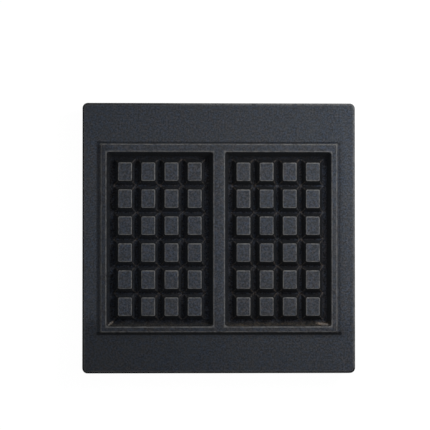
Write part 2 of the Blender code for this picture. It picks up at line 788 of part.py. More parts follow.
def add_thermostat_frame(heights, material):
    """Strip bent up to a foot on the plate, carrying the stack at one end and the spindle in its middle."""
    foot_top = CORE_UNDER_Z - FRAME_BOSS_HEIGHT - GAP
    foot_middle = foot_top - FRAME_SHEET / 2
    arm_middle = heights["frame"] - FRAME_SHEET / 2
    step_y = FRAME_FOOT_Y + FRAME_FOOT_LENGTH / 2
    path = (
        (STACK_Y + STACK_END, arm_middle),
        (step_y, arm_middle),
        (step_y, foot_middle),
        (FRAME_FOOT_Y - FRAME_FOOT_LENGTH / 2, foot_middle),
    )
    bm = bmesh.new()
    half = STRIP_WIDTH / 2
    for side in (-half, half):
        for y, z in path:
            bm.verts.new((side, y, z))
    bm.verts.ensure_lookup_table()
    count = len(path)
    edges = [bm.edges.new((bm.verts[i], bm.verts[i + 1])) for i in range(count - 1)]
    edges += [bm.edges.new((bm.verts[count + i], bm.verts[count + i + 1])) for i in range(count - 1)]
    bmesh.ops.bridge_loops(bm, edges=edges)
    frame = add_part("thermostat_frame", bm, material)
    add_sheet_thickness(frame, FRAME_SHEET, FRAME_BEND)
    cut(frame, "rivet_hole", rivet_hole(heights["frame"], FRAME_SHEET))
    spindle_y = STACK_Y - SPINDLE_REACH
    low = heights["frame"] - FRAME_SHEET - SINK
    cut(frame, "nut_hole", cylinder(NUT_BARREL_RADIUS + GAP, low, heights["frame"] + SINK, (0.0, spindle_y)))
    screw_hole = cylinder(
        SMALL_SCREW_RADIUS + GAP, foot_top - FRAME_SHEET - SINK, foot_top + SINK, (0.0, FRAME_FOOT_Y)
    )
    cut(frame, "screw_hole", screw_hole)


def add_thermostat_leaf(name, top, contact_side, contact_height, material):
    """Contact spring with a tail outside the stack and a contact on one face."""
    under = top - LEAF_THICKNESS
    half_y = (LEAF_REACH + LEAF_TAIL) / 2
    centre_y = STACK_Y + LEAF_TAIL - half_y
    leaf = rounded_plate(LEAF_WIDTH / 2, half_y, LEAF_CORNER, under, top, (0.0, centre_y), 2)
    part = add_part(name, leaf, material)
    contact_y = STACK_Y - CONTACT_REACH
    if contact_side > 0:
        contact = cylinder(CONTACT_RADIUS, under, top + contact_height, (0.0, contact_y))
    else:
        contact = cylinder(CONTACT_RADIUS, under - contact_height, top, (0.0, contact_y))
    join(part, "contact", contact)
    cut(part, "rivet_hole", rivet_hole(top, LEAF_THICKNESS))


def add_thermostat(steel, copper, ceramic, brass, black):
    heights = stack_heights()
    add_thermostat_frame(heights, steel)
    bimetal_top = heights["bimetal"]
    bimetal_under = bimetal_top - BIMETAL_THICKNESS
    half_x = STRIP_WIDTH / 2
    half_y = (BIMETAL_REACH + STACK_END) / 2
    centre = (0.0, STACK_Y + STACK_END - half_y)
    blade = rounded_plate(half_x, half_y, BIMETAL_CORNER, bimetal_under, bimetal_top, centre)
    bimetal = add_part("thermostat_bimetal", blade, copper)
    cut(bimetal, "rivet_hole", rivet_hole(bimetal_top, BIMETAL_THICKNESS))
    contact_height = (INSULATOR_HEIGHT + GAP) / 2
    add_thermostat_leaf("thermostat_leaf_upper", heights["leaf_upper"], -1, contact_height, brass)
    add_thermostat_leaf("thermostat_leaf_lower", heights["leaf_lower"], 1, contact_height, brass)
    for level in ("upper", "middle", "lower"):
        top = heights[f"insulator_{level}"]
        disc = cylinder(INSULATOR_RADIUS, top - INSULATOR_HEIGHT, top, (0.0, STACK_Y), LARGE_SIDES)
        insulator = add_part(f"thermostat_insulator_{level}", disc, ceramic)
        cut(insulator, "rivet_hole", rivet_hole(top, INSULATOR_HEIGHT))
    rivet_top = bimetal_top + GAP
    rivet_low = heights["frame"] - FRAME_SHEET - GAP
    place = (0.0, STACK_Y)
    half_head = RIVET_HEAD_HEIGHT / 2
    shank = cylinder(RIVET_RADIUS, rivet_low - half_head, rivet_top + half_head, place)
    rivet = add_part("thermostat_rivet", shank, steel)
    join(rivet, "upper_head", cylinder(RIVET_HEAD_RADIUS, rivet_top, rivet_top + RIVET_HEAD_HEIGHT, place))
    join(rivet, "lower_head", cylinder(RIVET_HEAD_RADIUS, rivet_low - RIVET_HEAD_HEIGHT, rivet_low, place))
    bead_y = STACK_Y - SPINDLE_REACH
    bead = cylinder(BEAD_RADIUS, heights["leaf_upper"] + GAP, bimetal_under - GAP, (0.0, bead_y))
    add_part("thermostat_bead", bead, ceramic)
    add_spindle(heights, brass, black)
    foot_under = CORE_UNDER_Z - FRAME_BOSS_HEIGHT - GAP - FRAME_SHEET
    tip = CORE_UNDER_Z - FRAME_BOSS_HEIGHT + SMALL_SCREW_BITE
    screw = slotted_screw("thermostat_screw", foot_under, tip, steel)
    screw.location = (0.0, FRAME_FOOT_Y, 0.0)


def add_spindle(heights, brass, black):
    """Flanged nut in the frame and the slotted spindle that turns in it, set on the spindle's axis."""
    axis = (0.0, STACK_Y - SPINDLE_REACH, 0.0)
    flange_top = heights["frame"] - FRAME_SHEET - GAP
    nut_low = flange_top - NUT_FLANGE
    nut_top = flange_top + NUT_BARREL
    nut = add_part("thermostat_nut", cylinder(NUT_RADIUS, nut_low, flange_top, sides=LARGE_SIDES), brass)
    join(nut, "barrel", cylinder(NUT_BARREL_RADIUS, nut_low + NUT_FLANGE / 2, nut_top))
    cut(nut, "bore", cylinder(SPINDLE_RADIUS + GAP, nut_low - SINK, nut_top + SINK))
    nut.location = axis
    move_tools(nut, axis)
    tip = heights["leaf_lower"] - LEAF_THICKNESS - GAP
    end = nut_low - SPINDLE_OUT
    spindle = add_part("thermostat_spindle", cylinder(SPINDLE_RADIUS, end, tip), black)
    reach = SPINDLE_RADIUS + SINK
    half = SLOT_WIDTH / 2
    cut(spindle, "slot", cuboid((-reach, -half, end - SINK), (reach, half, end + SLOT_DEPTH)))
    spindle.location = axis
    move_tools(spindle, axis)


def move_tools(part, place):
    """Takes a part's tools along to the part's place."""
    for modifier in part.modifiers:
        if modifier.type == "BOOLEAN":
            modifier.object.location = place


# Safety cut-out


def add_cutout(aluminium, steel, ceramic, brass, red):
    axis = (CUTOUT_X, CUTOUT_Y, 0.0)
    cap_top = CORE_UNDER_Z - GAP
    cap_under = cap_top - CUTOUT_CAP_HEIGHT
    radius = CUTOUT_CAP_RADIUS
    levels = edge_round(cap_top, radius, radius, radius, CUTOUT_CAP_ROUND)
    cap = lofted_block([(cap_under, radius, radius, radius), *levels], steps=LARGE_SIDES // 4)
    bmesh.ops.remove_doubles(cap, verts=cap.verts, dist=WELD)
    add_part("cutout_cap", cap, aluminium).location = axis
    strap_top = cap_under - GAP
    strap_under = strap_top - CUTOUT_STRAP_SHEET
    half_y = CUTOUT_SCREW_SPACING / 2 + CUTOUT_STRAP_WIDTH / 2
    strap_half = CUTOUT_STRAP_WIDTH / 2
    ears = rounded_plate(strap_half, half_y, strap_half - END_FLAT, strap_under, strap_top)
    strap = add_part("cutout_strap", ears, steel)
    join(strap, "ring", cylinder(CUTOUT_CAP_RADIUS, strap_under, strap_top, sides=LARGE_SIDES))
    for _, x, y in cutout_screw_places():
        place = (x - CUTOUT_X, y - CUTOUT_Y)
        hole = cylinder(SMALL_SCREW_RADIUS + GAP, strap_under - SINK, strap_top + SINK, place)
        cut(strap, f"hole_{'front' if place[1] < 0 else 'rear'}", hole)
    strap.location = axis
    move_tools(strap, axis)
    body_top = strap_under - GAP
    body_under = body_top - CUTOUT_BODY_HEIGHT
    drum = cylinder(CUTOUT_BODY_RADIUS, body_under, body_top, sides=LARGE_SIDES)
    body = add_part("cutout_body", drum, ceramic)
    collar_under = body_under - CUTOUT_COLLAR_HEIGHT
    join(body, "collar", cylinder(CUTOUT_COLLAR_RADIUS, collar_under, body_under + SINK))
    button_top = collar_under + BUTTON_SUNK
    well_top = button_top + BUTTON_TRAVEL + GAP
    cut(body, "button_well", cylinder(BUTTON_RADIUS + GAP, collar_under - SINK, well_top))
    tab_z = body_under + CUTOUT_TAB_RISE
    half_tab = CUTOUT_TAB_THICKNESS / 2
    half_width = CUTOUT_TAB_WIDTH / 2
    inner = CUTOUT_BODY_RADIUS - CUTOUT_TAB_SUNK
    outer = CUTOUT_BODY_RADIUS + CUTOUT_TAB_LENGTH
    for ending, side in (("left", -1), ("right", 1)):
        ends = sorted((side * inner, side * outer))
        low = (ends[0], -half_width, tab_z - half_tab)
        high = (ends[1], half_width, tab_z + half_tab)
        tab = add_part(f"cutout_tab_{ending}", cuboid(low, high), brass)
        hole_x = side * (outer - half_width)
        cut(tab, "hole", cylinder(CUTOUT_TAB_HOLE_RADIUS, low[2] - SINK, high[2] + SINK, (hole_x, 0.0)))
        tab.location = axis
        move_tools(tab, axis)
        slot_low = [value - GAP for value in low]
        slot_high = [value + GAP for value in high]
        cut(body, f"slot_{ending}", cuboid(slot_low, slot_high))
    body.location = axis
    move_tools(body, axis)
    button_end = collar_under - BUTTON_OUT
    levels = edge_round(-button_end, BUTTON_RADIUS, BUTTON_RADIUS, BUTTON_RADIUS, BUTTON_ROUND)
    button_levels = [(-height, *sizes) for height, *sizes in reversed(levels)]
    button_levels.append((button_top, BUTTON_RADIUS, BUTTON_RADIUS, BUTTON_RADIUS))
    button = lofted_block(button_levels, steps=SMALL_SIDES // 4)
    bmesh.ops.remove_doubles(button, verts=button.verts, dist=WELD)
    add_part("reset_button", button, red).location = axis
    tip = CORE_UNDER_Z - CUTOUT_CAP_HEIGHT + SMALL_SCREW_BITE
    screw = slotted_screw("cutout_screw_front", strap_under, tip, steel)
    (_, x, front_y), (_, _, rear_y) = cutout_screw_places()
    screw.location = (x, front_y, 0.0)
    add_copy("cutout_screw_rear", screw, (x, rear_y, 0.0))


# Earth stud


def add_earth(steel, brass):
    """Stud, tab, washer and nut, stacked under the boss at the back."""
    axis = (EARTH_X, EARTH_Y, 0.0)
    seat = MARGIN_UNDER_Z - EARTH_BOSS_HEIGHT
    stud = cylinder(EARTH_STUD_RADIUS, seat - EARTH_STUD_OUT, seat + EARTH_STUD_BITE)
    add_part("earth_stud", stud, steel).location = axis
    hole_radius = EARTH_STUD_RADIUS + GAP
    tab_top = seat - GAP
    tab_under = tab_top - EARTH_TAB_SHEET
    half = EARTH_TAB_WIDTH / 2
    tab_shape = rounded_plate(
        EARTH_TAB_LENGTH / 2, half, half - END_FLAT, tab_under, tab_top, (EARTH_TAB_LENGTH / 2 - half, 0.0)
    )
    tab = add_part("earth_tab", tab_shape, brass)
    washer_top = tab_under - GAP
    washer_under = washer_top - EARTH_WASHER_THICKNESS
    washer = add_part("earth_washer", cylinder(EARTH_WASHER_RADIUS, washer_under, washer_top), steel)
    nut_top = washer_under - GAP
    nut_under = nut_top - EARTH_NUT_THICKNESS
    nut = add_part("earth_nut", hexagon(EARTH_NUT_ACROSS_FLATS, nut_under, nut_top), brass)
    layers = ((tab, tab_under, tab_top), (washer, washer_under, washer_top), (nut, nut_under, nut_top))
    for part, under, top in layers:
        cut(part, "bore", cylinder(hole_radius, under - SINK, top + SINK))
        part.location = axis
        move_tools(part, axis)


def main():
    clear_scene()
    make_collection(PARTS)
    make_collection(CUTTERS, hidden=True)
    cast_iron = make_material("cast_iron", (0.035, 0.035, 0.038), 0.62, 0.35)
    heater_steel = make_material("heater_steel", (0.16, 0.15, 0.14), 0.45, 0.9)
    steel = make_material("zinc_steel", (0.55, 0.55, 0.56), 0.35, 1.0)
    aluminium = make_material("aluminium", (0.72, 0.72, 0.73), 0.35, 1.0)
    copper = make_material("bimetal", (0.52, 0.38, 0.26), 0.4, 1.0)
    brass = make_material("brass", (0.7, 0.52, 0.22), 0.35, 1.0)
    ceramic = make_material("steatite", (0.78, 0.74, 0.66), 0.55, 0.0)
    black = make_material("blackened_steel", (0.06, 0.06, 0.065), 0.45, 0.8)
    red = make_material("red_plastic", (0.55, 0.04, 0.03), 0.4, 0.0)
    add_baking_plate(cast_iron)
    add_heater(heater_steel)
    add_terminals(ceramic, steel, brass)
    add_clamp_bars(steel)
    add_clamp_screws(steel)
    add_thermostat(steel, copper, ceramic, brass, black)
    add_cutout(aluminium, steel, ceramic, brass, red)
    add_earth(steel, brass)


main()
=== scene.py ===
"""Visual model of a waffle iron's lower baking plate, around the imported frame.

All places and sizes are in metres in the frame's own coordinates: +Z up, +X to the right, +Y to the back.
"""

import json
from math import acos, copysign, cos, pi, radians, sin, tan

import bmesh
import bpy
from mathutils import Matrix, Vector

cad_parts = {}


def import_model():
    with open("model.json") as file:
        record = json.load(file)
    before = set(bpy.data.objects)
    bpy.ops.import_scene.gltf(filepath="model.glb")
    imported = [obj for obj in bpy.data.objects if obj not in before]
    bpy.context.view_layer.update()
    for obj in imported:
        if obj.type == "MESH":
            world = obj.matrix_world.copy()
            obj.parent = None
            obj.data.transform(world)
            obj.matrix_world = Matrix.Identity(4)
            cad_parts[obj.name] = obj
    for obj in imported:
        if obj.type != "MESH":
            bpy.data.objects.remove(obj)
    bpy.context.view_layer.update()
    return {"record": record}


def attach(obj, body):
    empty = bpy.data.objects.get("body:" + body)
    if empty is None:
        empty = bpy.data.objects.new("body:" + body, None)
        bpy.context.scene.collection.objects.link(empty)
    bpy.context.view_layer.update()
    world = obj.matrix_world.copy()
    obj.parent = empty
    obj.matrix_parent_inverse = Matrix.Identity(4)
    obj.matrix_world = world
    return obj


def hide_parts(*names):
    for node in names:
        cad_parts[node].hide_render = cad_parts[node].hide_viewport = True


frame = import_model()

MM = 0.001
BODY = "body"

# Casting, as in the CAD source
PLATE_HALF_X = 128.5 * MM
PLATE_HALF_Y = 127.2 * MM
PLATE_HEIGHT = 38.0 * MM
PLATE_CORNER = 5.0 * MM
EDGE_ROUND = 1.2 * MM
MARGIN_Z = 35.8 * MM
MARGIN_UNDER_Z = 30.8 * MM
SKIRT_RIM_Z = 15.8 * MM
SKIRT_WALL = 4.5 * MM
SKIRT_DRAFT = 0.7 * MM
LAND_HALF_X = 111.35 * MM
LAND_HALF_Y = 88.4 * MM
LAND_CORNER = 2.2 * MM
LAND_FLARE_X = 2.6 * MM
LAND_FLARE_Y = 1.6 * MM
LAND_FLANK = ((0.0, 1.0), (0.02, 0.88), (0.06, 0.76), (0.15, 0.6), (0.727, 0.0))
LAND_ROUND = 0.6 * MM
FOOT_LINE = 0.45 * MM
FOOT_LINE_X = 0.2 * MM
POCKET_X = 55.75 * MM
POCKET_Y = -1.1 * MM
POCKET_HALF_X = 50.2 * MM
POCKET_HALF_Y = 82.15 * MM
POCKET_FLOOR_Z = 24.5 * MM
POCKET_DRAFT = 3.7 * MM
POCKET_CORNER = 2.4 * MM
POCKET_FILLET = 1.2 * MM
POCKET_ROUND = 0.6 * MM
PEG_HALF_X = 6.6 * MM
PEG_HALF_Y = 8.75 * MM
PEG_TOP_Z = 36.5 * MM
PEG_PITCH_X = 21.85 * MM
PEG_PITCH_Y = 25.4 * MM
PEG_DRAFT = 3.3 * MM
PEG_CORNER = 1.5 * MM
PEG_ROUND = 0.8 * MM
PEG_FILLET = 0.55 * MM
CORE_UNDER_Z = 17.5 * MM
CORE_DRAFT = 1.8 * MM
CORE_CORNER = 4.0 * MM
CORE_ROUND = 1.5 * MM
RIB_HALF = 2.0 * MM
RIB_DEPTH = 6.5 * MM
PILLAR_X = 105.0 * MM
PILLAR_Y = 106.0 * MM
PILLAR_RADIUS = 7.0 * MM
PILLAR_ROOT_RADIUS = 8.5 * MM
PILLAR_BORE = 2.5 * MM
PILLAR_BORE_TOP = 16.0 * MM
SINK = 1.0 * MM
GAP = 0.3 * MM

# Outlines: half width, half depth and corner radius
PLATE = (PLATE_HALF_X, PLATE_HALF_Y, PLATE_CORNER)
LAND = (LAND_HALF_X, LAND_HALF_Y, LAND_CORNER)
CORE = (LAND_HALF_X, LAND_HALF_Y, CORE_CORNER)
POCKET = (POCKET_HALF_X, POCKET_HALF_Y, POCKET_CORNER)
PEG = (PEG_HALF_X, PEG_HALF_Y, PEG_CORNER)

# Heater, bars and fasteners, as in the CAD source
TUBE_RADIUS = 4.0 * MM
TUBE_Z = 16.2 * MM
TUBE_END_Y = 99.0 * MM
RUN_SPACING = 52.0 * MM
BENDS = ((-54.0 * MM, 1), (50.0 * MM, -1), (-54.0 * MM, 1))
BAR_Y = 46.0 * MM
BAR_HALF = 90.0 * MM
BAR_WIDTH = 18.0 * MM
BAR_TOP_Z = 11.9 * MM
BAR_SHEET = 2.0 * MM
BAR_FLANGE = 6.5 * MM
BAR_BEND = 3.2 * MM
SCREW_RADIUS = 3.0 * MM
SCREW_BORE = SCREW_RADIUS + GAP
SCREW_PITCH = 1.0 * MM
SCREW_TIP_Z = 20.5 * MM
SCREW_HEAD_FLATS = 10.0 * MM
SCREW_HEAD_HEIGHT = 4.0 * MM
WASHER_RADIUS = 6.0 * MM
WASHER_SHEET = 1.6 * MM
SMALL_RADIUS = 1.5 * MM
SMALL_BORE = SMALL_RADIUS + GAP
SMALL_PITCH = 0.5 * MM
SMALL_HEAD_RADIUS = 3.0 * MM
SMALL_HEAD_HEIGHT = 2.2 * MM
SLOT_HALF = 0.4 * MM
SLOT_DEPTH = 1.0 * MM
EARTH_Y = 106.0 * MM
EARTH_SEAT_Z = 23.8 * MM
EARTH_RADIUS = 2.5 * MM
EARTH_BORE = EARTH_RADIUS + GAP
EARTH_PITCH = 0.8 * MM
STACK_Y = 18.0 * MM
STACK_BORE = 1.9 * MM
STRIP_HALF = 6.0 * MM
FOOT_Y = -28.0 * MM
SPINDLE_Y = -4.0 * MM
SPINDLE_RADIUS = 2.0 * MM
SPINDLE_PITCH = 0.7 * MM
CUTOUT_X = -52.0 * MM
CUTOUT_SCREW_Y = 11.9 * MM

# Fittings' shapes
SOFT = 0.25 * MM
HEX_SIDES = 48
HEX_TURNED = 0.475
SHARP = radians(32)
CRISP = radians(24)
SOFTENED = radians(50)
WORN_TURN = radians(16)

# Colours of the casting: iron, soot that also serves as painted shade, a painted highlight for the peg ridges, fat
# and crust painted paler as painted light, bare underside, worn edges with a painted highlight on rear-facing ones
MARGIN_DARK = (0.010, 0.0115, 0.0155)
MARGIN_LIGHT = (0.018, 0.0205, 0.027)
LAND_DARK = (0.011, 0.012, 0.0155)
LAND_LIGHT = (0.019, 0.0205, 0.026)
# Soot colour, also used as painted shade in the pockets, along the land's foot, on the outer edge and towards the
# front and left
SOOT_AND_SHADE = (0.0025, 0.0025, 0.003)
# Painted highlight along the pegs' slanting corner edges
RIDGE_HIGHLIGHT = (0.04, 0.036, 0.034)
# Fat and crust, painted paler as painted light on the pockets' front walls
FAT_LIT = (0.05, 0.043, 0.034)
CRUST_LIT = (0.125, 0.112, 0.1)
UNDER_DARK = (0.085, 0.080, 0.075)
UNDER_BROWN = (0.165, 0.118, 0.086)
WORN = (0.11, 0.108, 0.105)
# Painted highlight on worn edges that face the rear, towards the lamp
REAR_EDGE_HIGHLIGHT = (0.15, 0.147, 0.142)
IRON_TINT = (0.84, 0.93, 1.0)

# How strongly they lie on it; two numbers go from its left to its right
IRON_SPECULAR = 0.2
# Painted shade towards the front, strongest at the left, and on the land's left; a little darker towards the rear
FRONT_SHADE = (0.42, 0.16)
LEFT_SHADE = 0.3
REAR_DARKENING = 0.08
# Painted shade in the pockets: right under the rims, on the walls, and on the floors at the rear
RIM_SHADE = 0.97
WALL_SHADE = (0.52, 0.85)
FLOOR_SHADE = 0.2
# Painted highlight on the peg ridges
RIDGE_HIGHLIGHT_SHARE = 0.65
# Fat film and painted light on the pockets' front walls, more towards the right
FRONT_FAT_AND_LIGHT = (0.3, 0.52)
# Painted light: grains brighter on the right margin
RIGHT_PAINTED_LIGHT = 1.25
# Painted shadow along the land's foot, wider at the left and the front, and a fainter one beyond it at the right and
# the front
FOOT_SHADOW = 0.3
FOOT_SHADOW_LEFT = 0.5
FOOT_SHADOW_FRONT = 0.98
WIDE_SHADOW_RIGHT = 0.16
WIDE_SHADOW_FRONT = 0.45
# Painted shade on the outer edge at the left and the front, and darker along the rear's left half
EDGE_SHADE_LEFT = 0.92
EDGE_SHADE_FRONT = 0.97
EDGE_DARKENING_REAR = 0.85

# Heights over which a look of it comes in
TOP_SIDE = (24.0 * MM, 24.4 * MM)
UNDERSIDE = (23.8 * MM, 23.6 * MM)
MARGIN_UNDERSIDE = (31.6 * MM, 31.2 * MM)
OFF_FLOOR = (25.0 * MM, 26.5 * MM)
UNDER_RIM = (31.5 * MM, 34.5 * MM)
IN_POCKET = (36.1 * MM, 35.5 * MM)
LAND_FLANK_Z = (37.2 * MM, 36.6 * MM)
BELOW_LAND = (37.2 * MM, 36.9 * MM)
SHOULDER = (33.6 * MM, 34.8 * MM)
OFF_MARGIN = (35.76 * MM, 35.66 * MM)
SHOULDER_WEAR = (34.2 * MM, 34.7 * MM)
RIM_WEAR = (18.3 * MM, 16.4 * MM)


# Node graphs


class Value:
    """What a node gives out. To calculate with it is to add maths nodes to its tree."""

    def __init__(self, tree, socket):
        self.tree = tree
        self.socket = socket

    def __add__(self, other):
        return maths("ADD", self, other)

    def __sub__(self, other):
        return maths("SUBTRACT", self, other)

    def __rsub__(self, other):
        return maths("SUBTRACT", other, self)

    def __mul__(self, other):
        return maths("MULTIPLY", self, other)

    def __truediv__(self, other):
        return maths("DIVIDE", self, other)

    def __abs__(self):
        return maths("ABSOLUTE", self)


def new_material(name):
    material = bpy.data.materials.new(name)
    material.use_nodes = True
    return material, material.node_tree, material.node_tree.nodes["Principled BSDF"]


def plug(socket, value):
    """Links a socket to a node's output, or sets it to a number or a colour."""
    if isinstance(value, Value):
        value.tree.links.new(value.socket, socket)
    elif isinstance(value, tuple) and len(value) == 3 and len(socket.default_value) == 4:
        socket.default_value = (*value, 1.0)
    else:
        socket.default_value = value


def make(tree, kind, inputs=(), **settings):
    """A new node with its settings and (socket, value) inputs."""
    made = tree.nodes.new(kind)
    for key, value in settings.items():
        setattr(made, key, value)
    for key, value in inputs:
        plug(made.inputs[key], value)
    return made


def output(tree, kind, inputs=(), key=0, **settings):
    """One output of a new node."""
    return Value(tree, make(tree, kind, inputs, **settings).outputs[key])


def maths(operation, a, b=0.0, clamp=False):
    tree = a.tree if isinstance(a, Value) else b.tree
    return output(tree, "ShaderNodeMath", ((0, a), (1, b)), operation=operation, use_clamp=clamp)


def most(value, *others):
    """The largest of some values."""
    for other in others:
        value = maths("MAXIMUM", value, other)
    return value


def span(value, low, high, to_low=0.0, to_high=1.0):
    """A value mapped smoothly from one range to another, and held at its ends."""
    inputs = ((0, value), (1, low), (2, high), (3, to_low), (4, to_high))
    return output(value.tree, "ShaderNodeMapRange", inputs, interpolation_type="SMOOTHSTEP")


def blended(factor, a, b, mode="MIX"):
    tree = next(value for value in (factor, a, b) if isinstance(value, Value)).tree
    return output(tree, "ShaderNodeMix", ((0, factor), (6, a), (7, b)), 2, data_type="RGBA", blend_type=mode)


def place_of(tree):
    return output(tree, "ShaderNodeTexCoord", key="Object")


def axes_of(vector):
    """The X, Y and Z parts of a vector."""
    return [Value(vector.tree, part) for part in make(vector.tree, "ShaderNodeSeparateXYZ", ((0, vector),)).outputs]


def stretched(place, factors):
    return output(place.tree, "ShaderNodeVectorMath", ((0, place), (1, factors)), operation="MULTIPLY")


def noise(place, scale, detail=4.0, roughness=0.55, distortion=0.0):
    keys = ("Vector", "Scale", "Detail", "Roughness", "Distortion")
    return output(place.tree, "ShaderNodeTexNoise", zip(keys, (place, scale, detail, roughness, distortion)), "Fac")


def bumped(height, distance, strength, normal=None):
    inputs = [("Height", height), ("Distance", distance), ("Strength", strength)]
    return output(height.tree, "ShaderNodeBump", inputs + ([("Normal", normal)] if normal else []), "Normal")


def outside_of(x, y, half_x, half_y):
    """How far a place lies outside a rectangle around the middle; negative inside."""
    return most(abs(x) - half_x, abs(y) - half_y)


def past_outline(x, y):
    """How far a place lies outside the plate's round-cornered outline; negative inside."""
    past_x = abs(x) - (PLATE_HALF_X - PLATE_CORNER)
    past_y = abs(y) - (PLATE_HALF_Y - PLATE_CORNER)
    out_x = most(past_x, 0.0)
    out_y = most(past_y, 0.0)
    within = maths("MINIMUM", most(past_x, past_y), 0.0)
    return maths("SQRT", out_x * out_x + out_y * out_y) + within - PLATE_CORNER


def wear_of(tree):
    """How strongly a point lies on an outer edge, as wear_edges wrote it."""
    return output(tree, "ShaderNodeAttribute", key="Fac", attribute_name="wear")


def dress(shader, colour, rough, normal):
    for key, value in (("Base Color", colour), ("Roughness", rough), ("Normal", normal)):
        plug(shader.inputs[key], value)


# Materials


def oval(x, y, centre, half_x, half_y, slope):
    """1 in the middle of a small slanting oval patch, fading out to its rim."""
    from_x = x - centre[0]
    across = from_x / half_x
    along = (y - centre[1] - from_x * slope) / half_y
    return span(across * across + along * along, 1.0, 0.2)


def land_foot_shadow(x, y, z, past_land, above):
    """Painted shadow along the land's foot, thickest at the front, with a fainter painted shadow spreading beyond it.
    """
    past_foot = outside_of(x, y, LAND_HALF_X + LAND_FLARE_X, LAND_HALF_Y + LAND_FLARE_Y)
    front = span(y, 1.0 * MM - LAND_HALF_Y, -LAND_HALF_Y)
    left = span(x, 1.0 * MM - LAND_HALF_X, -LAND_HALF_X)
    right = span(x, LAND_HALF_X - 1.0 * MM, LAND_HALF_X)
    to_line = abs(past_foot)
    thin = span(to_line, 1.4 * MM, 0.3 * MM) * FOOT_SHADOW
    wide = span(to_line, 1.9 * MM, 0.9 * MM) * most(left * FOOT_SHADOW_LEFT, front * FOOT_SHADOW_FRONT)
    haze = most(right * WIDE_SHADOW_RIGHT, front * WIDE_SHADOW_FRONT) * span(past_foot, 7.0 * MM, 0.0)
    outer = span(past_land, 0.0, 0.4 * MM) * above
    return most(thin, wide, haze) * (span(z, *LAND_FLANK_Z) * outer)


def edge_shade(x, y, z, facing, past_edge):
    """Painted shade on the plate's rounded outer edge where it faces away from the lamp, wider at the left and the
    front, and a darker band along the rear's left half.
    """
    away = span(maths("MINIMUM", facing[0], facing[1]), -0.05, -0.35, 0.35, 0.9)
    narrow = span(z, *OFF_MARGIN) * (away * span(z, *SHOULDER, 0.3, 1.0))
    left = span(x, 6.0 * MM - PLATE_HALF_X, 4.0 * MM - PLATE_HALF_X, 0.0, EDGE_SHADE_LEFT)
    front = span(y, 6.0 * MM - PLATE_HALF_Y, 4.0 * MM - PLATE_HALF_Y, 0.0, EDGE_SHADE_FRONT)
    rear = span(x, -10.0 * MM, -60.0 * MM) * span(y, 0.0, 100.0 * MM, 0.0, EDGE_DARKENING_REAR)
    wide = span(past_edge, -2.0 * MM, -1.2 * MM) * most(left, front, rear)
    return most(narrow, wide * span(z, *SHOULDER))


def peg_ridges(x, y, past_pocket):
    """1 along the slanting corner edges of the pegs."""
    across = maths("PINGPONG", abs(x) - (POCKET_X - 1.5 * PEG_PITCH_X), PEG_PITCH_X / 2)
    along = maths("PINGPONG", y - (POCKET_Y + 0.5 * PEG_PITCH_Y), PEG_PITCH_Y / 2)
    lead = across - (along - (PEG_HALF_Y - PEG_HALF_X))
    ridge = span(abs(lead), 1.3 * MM, 0.3 * MM)
    ridge *= span(across, PEG_HALF_X - 0.2 * MM, PEG_HALF_X + 0.6 * MM)
    return ridge * span(past_pocket, -6.0 * MM, -7.2 * MM)


def darkened_areas(x, y, inside):
    """Where the top is darker: towards the front and the rear, where no peg is, and on the land's left. The front and
    left darkening is painted shade, strongest at the front left; the rear is only a little darker.
    """
    front = span(y, -66.0 * MM, -86.0 * MM) * span(x, -120.0 * MM, 120.0 * MM, *FRONT_SHADE)
    rear = span(y, 84.0 * MM, 100.0 * MM, 0.0, REAR_DARKENING)
    return most(front, rear, span(x, -98.0 * MM, -108.0 * MM, 0.0, LEFT_SHADE) * inside)


def pocket_shade(x, y, z):
    """Painted shade on the pockets' walls, darkest under the rims and at the rear, less in the left pocket, and
    lighter on their floors.
    """
    rear = (66.0 * MM, 72.0 * MM)
    wall = most(span(x, -30.0 * MM, 30.0 * MM, *WALL_SHADE), span(y, *rear, *WALL_SHADE))
    floor_share = most(span(z, *OFF_FLOOR), span(y, *rear, FLOOR_SHADE, wall))
    return span(z, *UNDER_RIM, wall, RIM_SHADE) * floor_share


def fat_and_painted_light(colour, place, x, y, sunk):
    """Colour with baked-on fat over the pockets' front walls, thickest in two corners, painted paler as painted light
    on these walls, which face the lamp, more towards the right.
    """
    crumbs = noise(place, 160.0, 4.0, 0.65)
    fat_film_and_light = span(y, -77.5 * MM, -81.5 * MM) * span(x, -20.0 * MM, 20.0 * MM, *FRONT_FAT_AND_LIGHT) * span(crumbs, 0.35, 0.6)
    left = oval(x, y, (-101.6 * MM, -80.3 * MM), 3.6 * MM, 1.6 * MM, 0.7)
    right = oval(x, y, (98.5 * MM, -81.0 * MM), 8.0 * MM, 1.5 * MM, -0.1)
    colour = blended(fat_film_and_light * sunk, colour, FAT_LIT)
    return blended(most(left, right) * span(crumbs, 0.3, 0.5) * sunk, colour, CRUST_LIT)


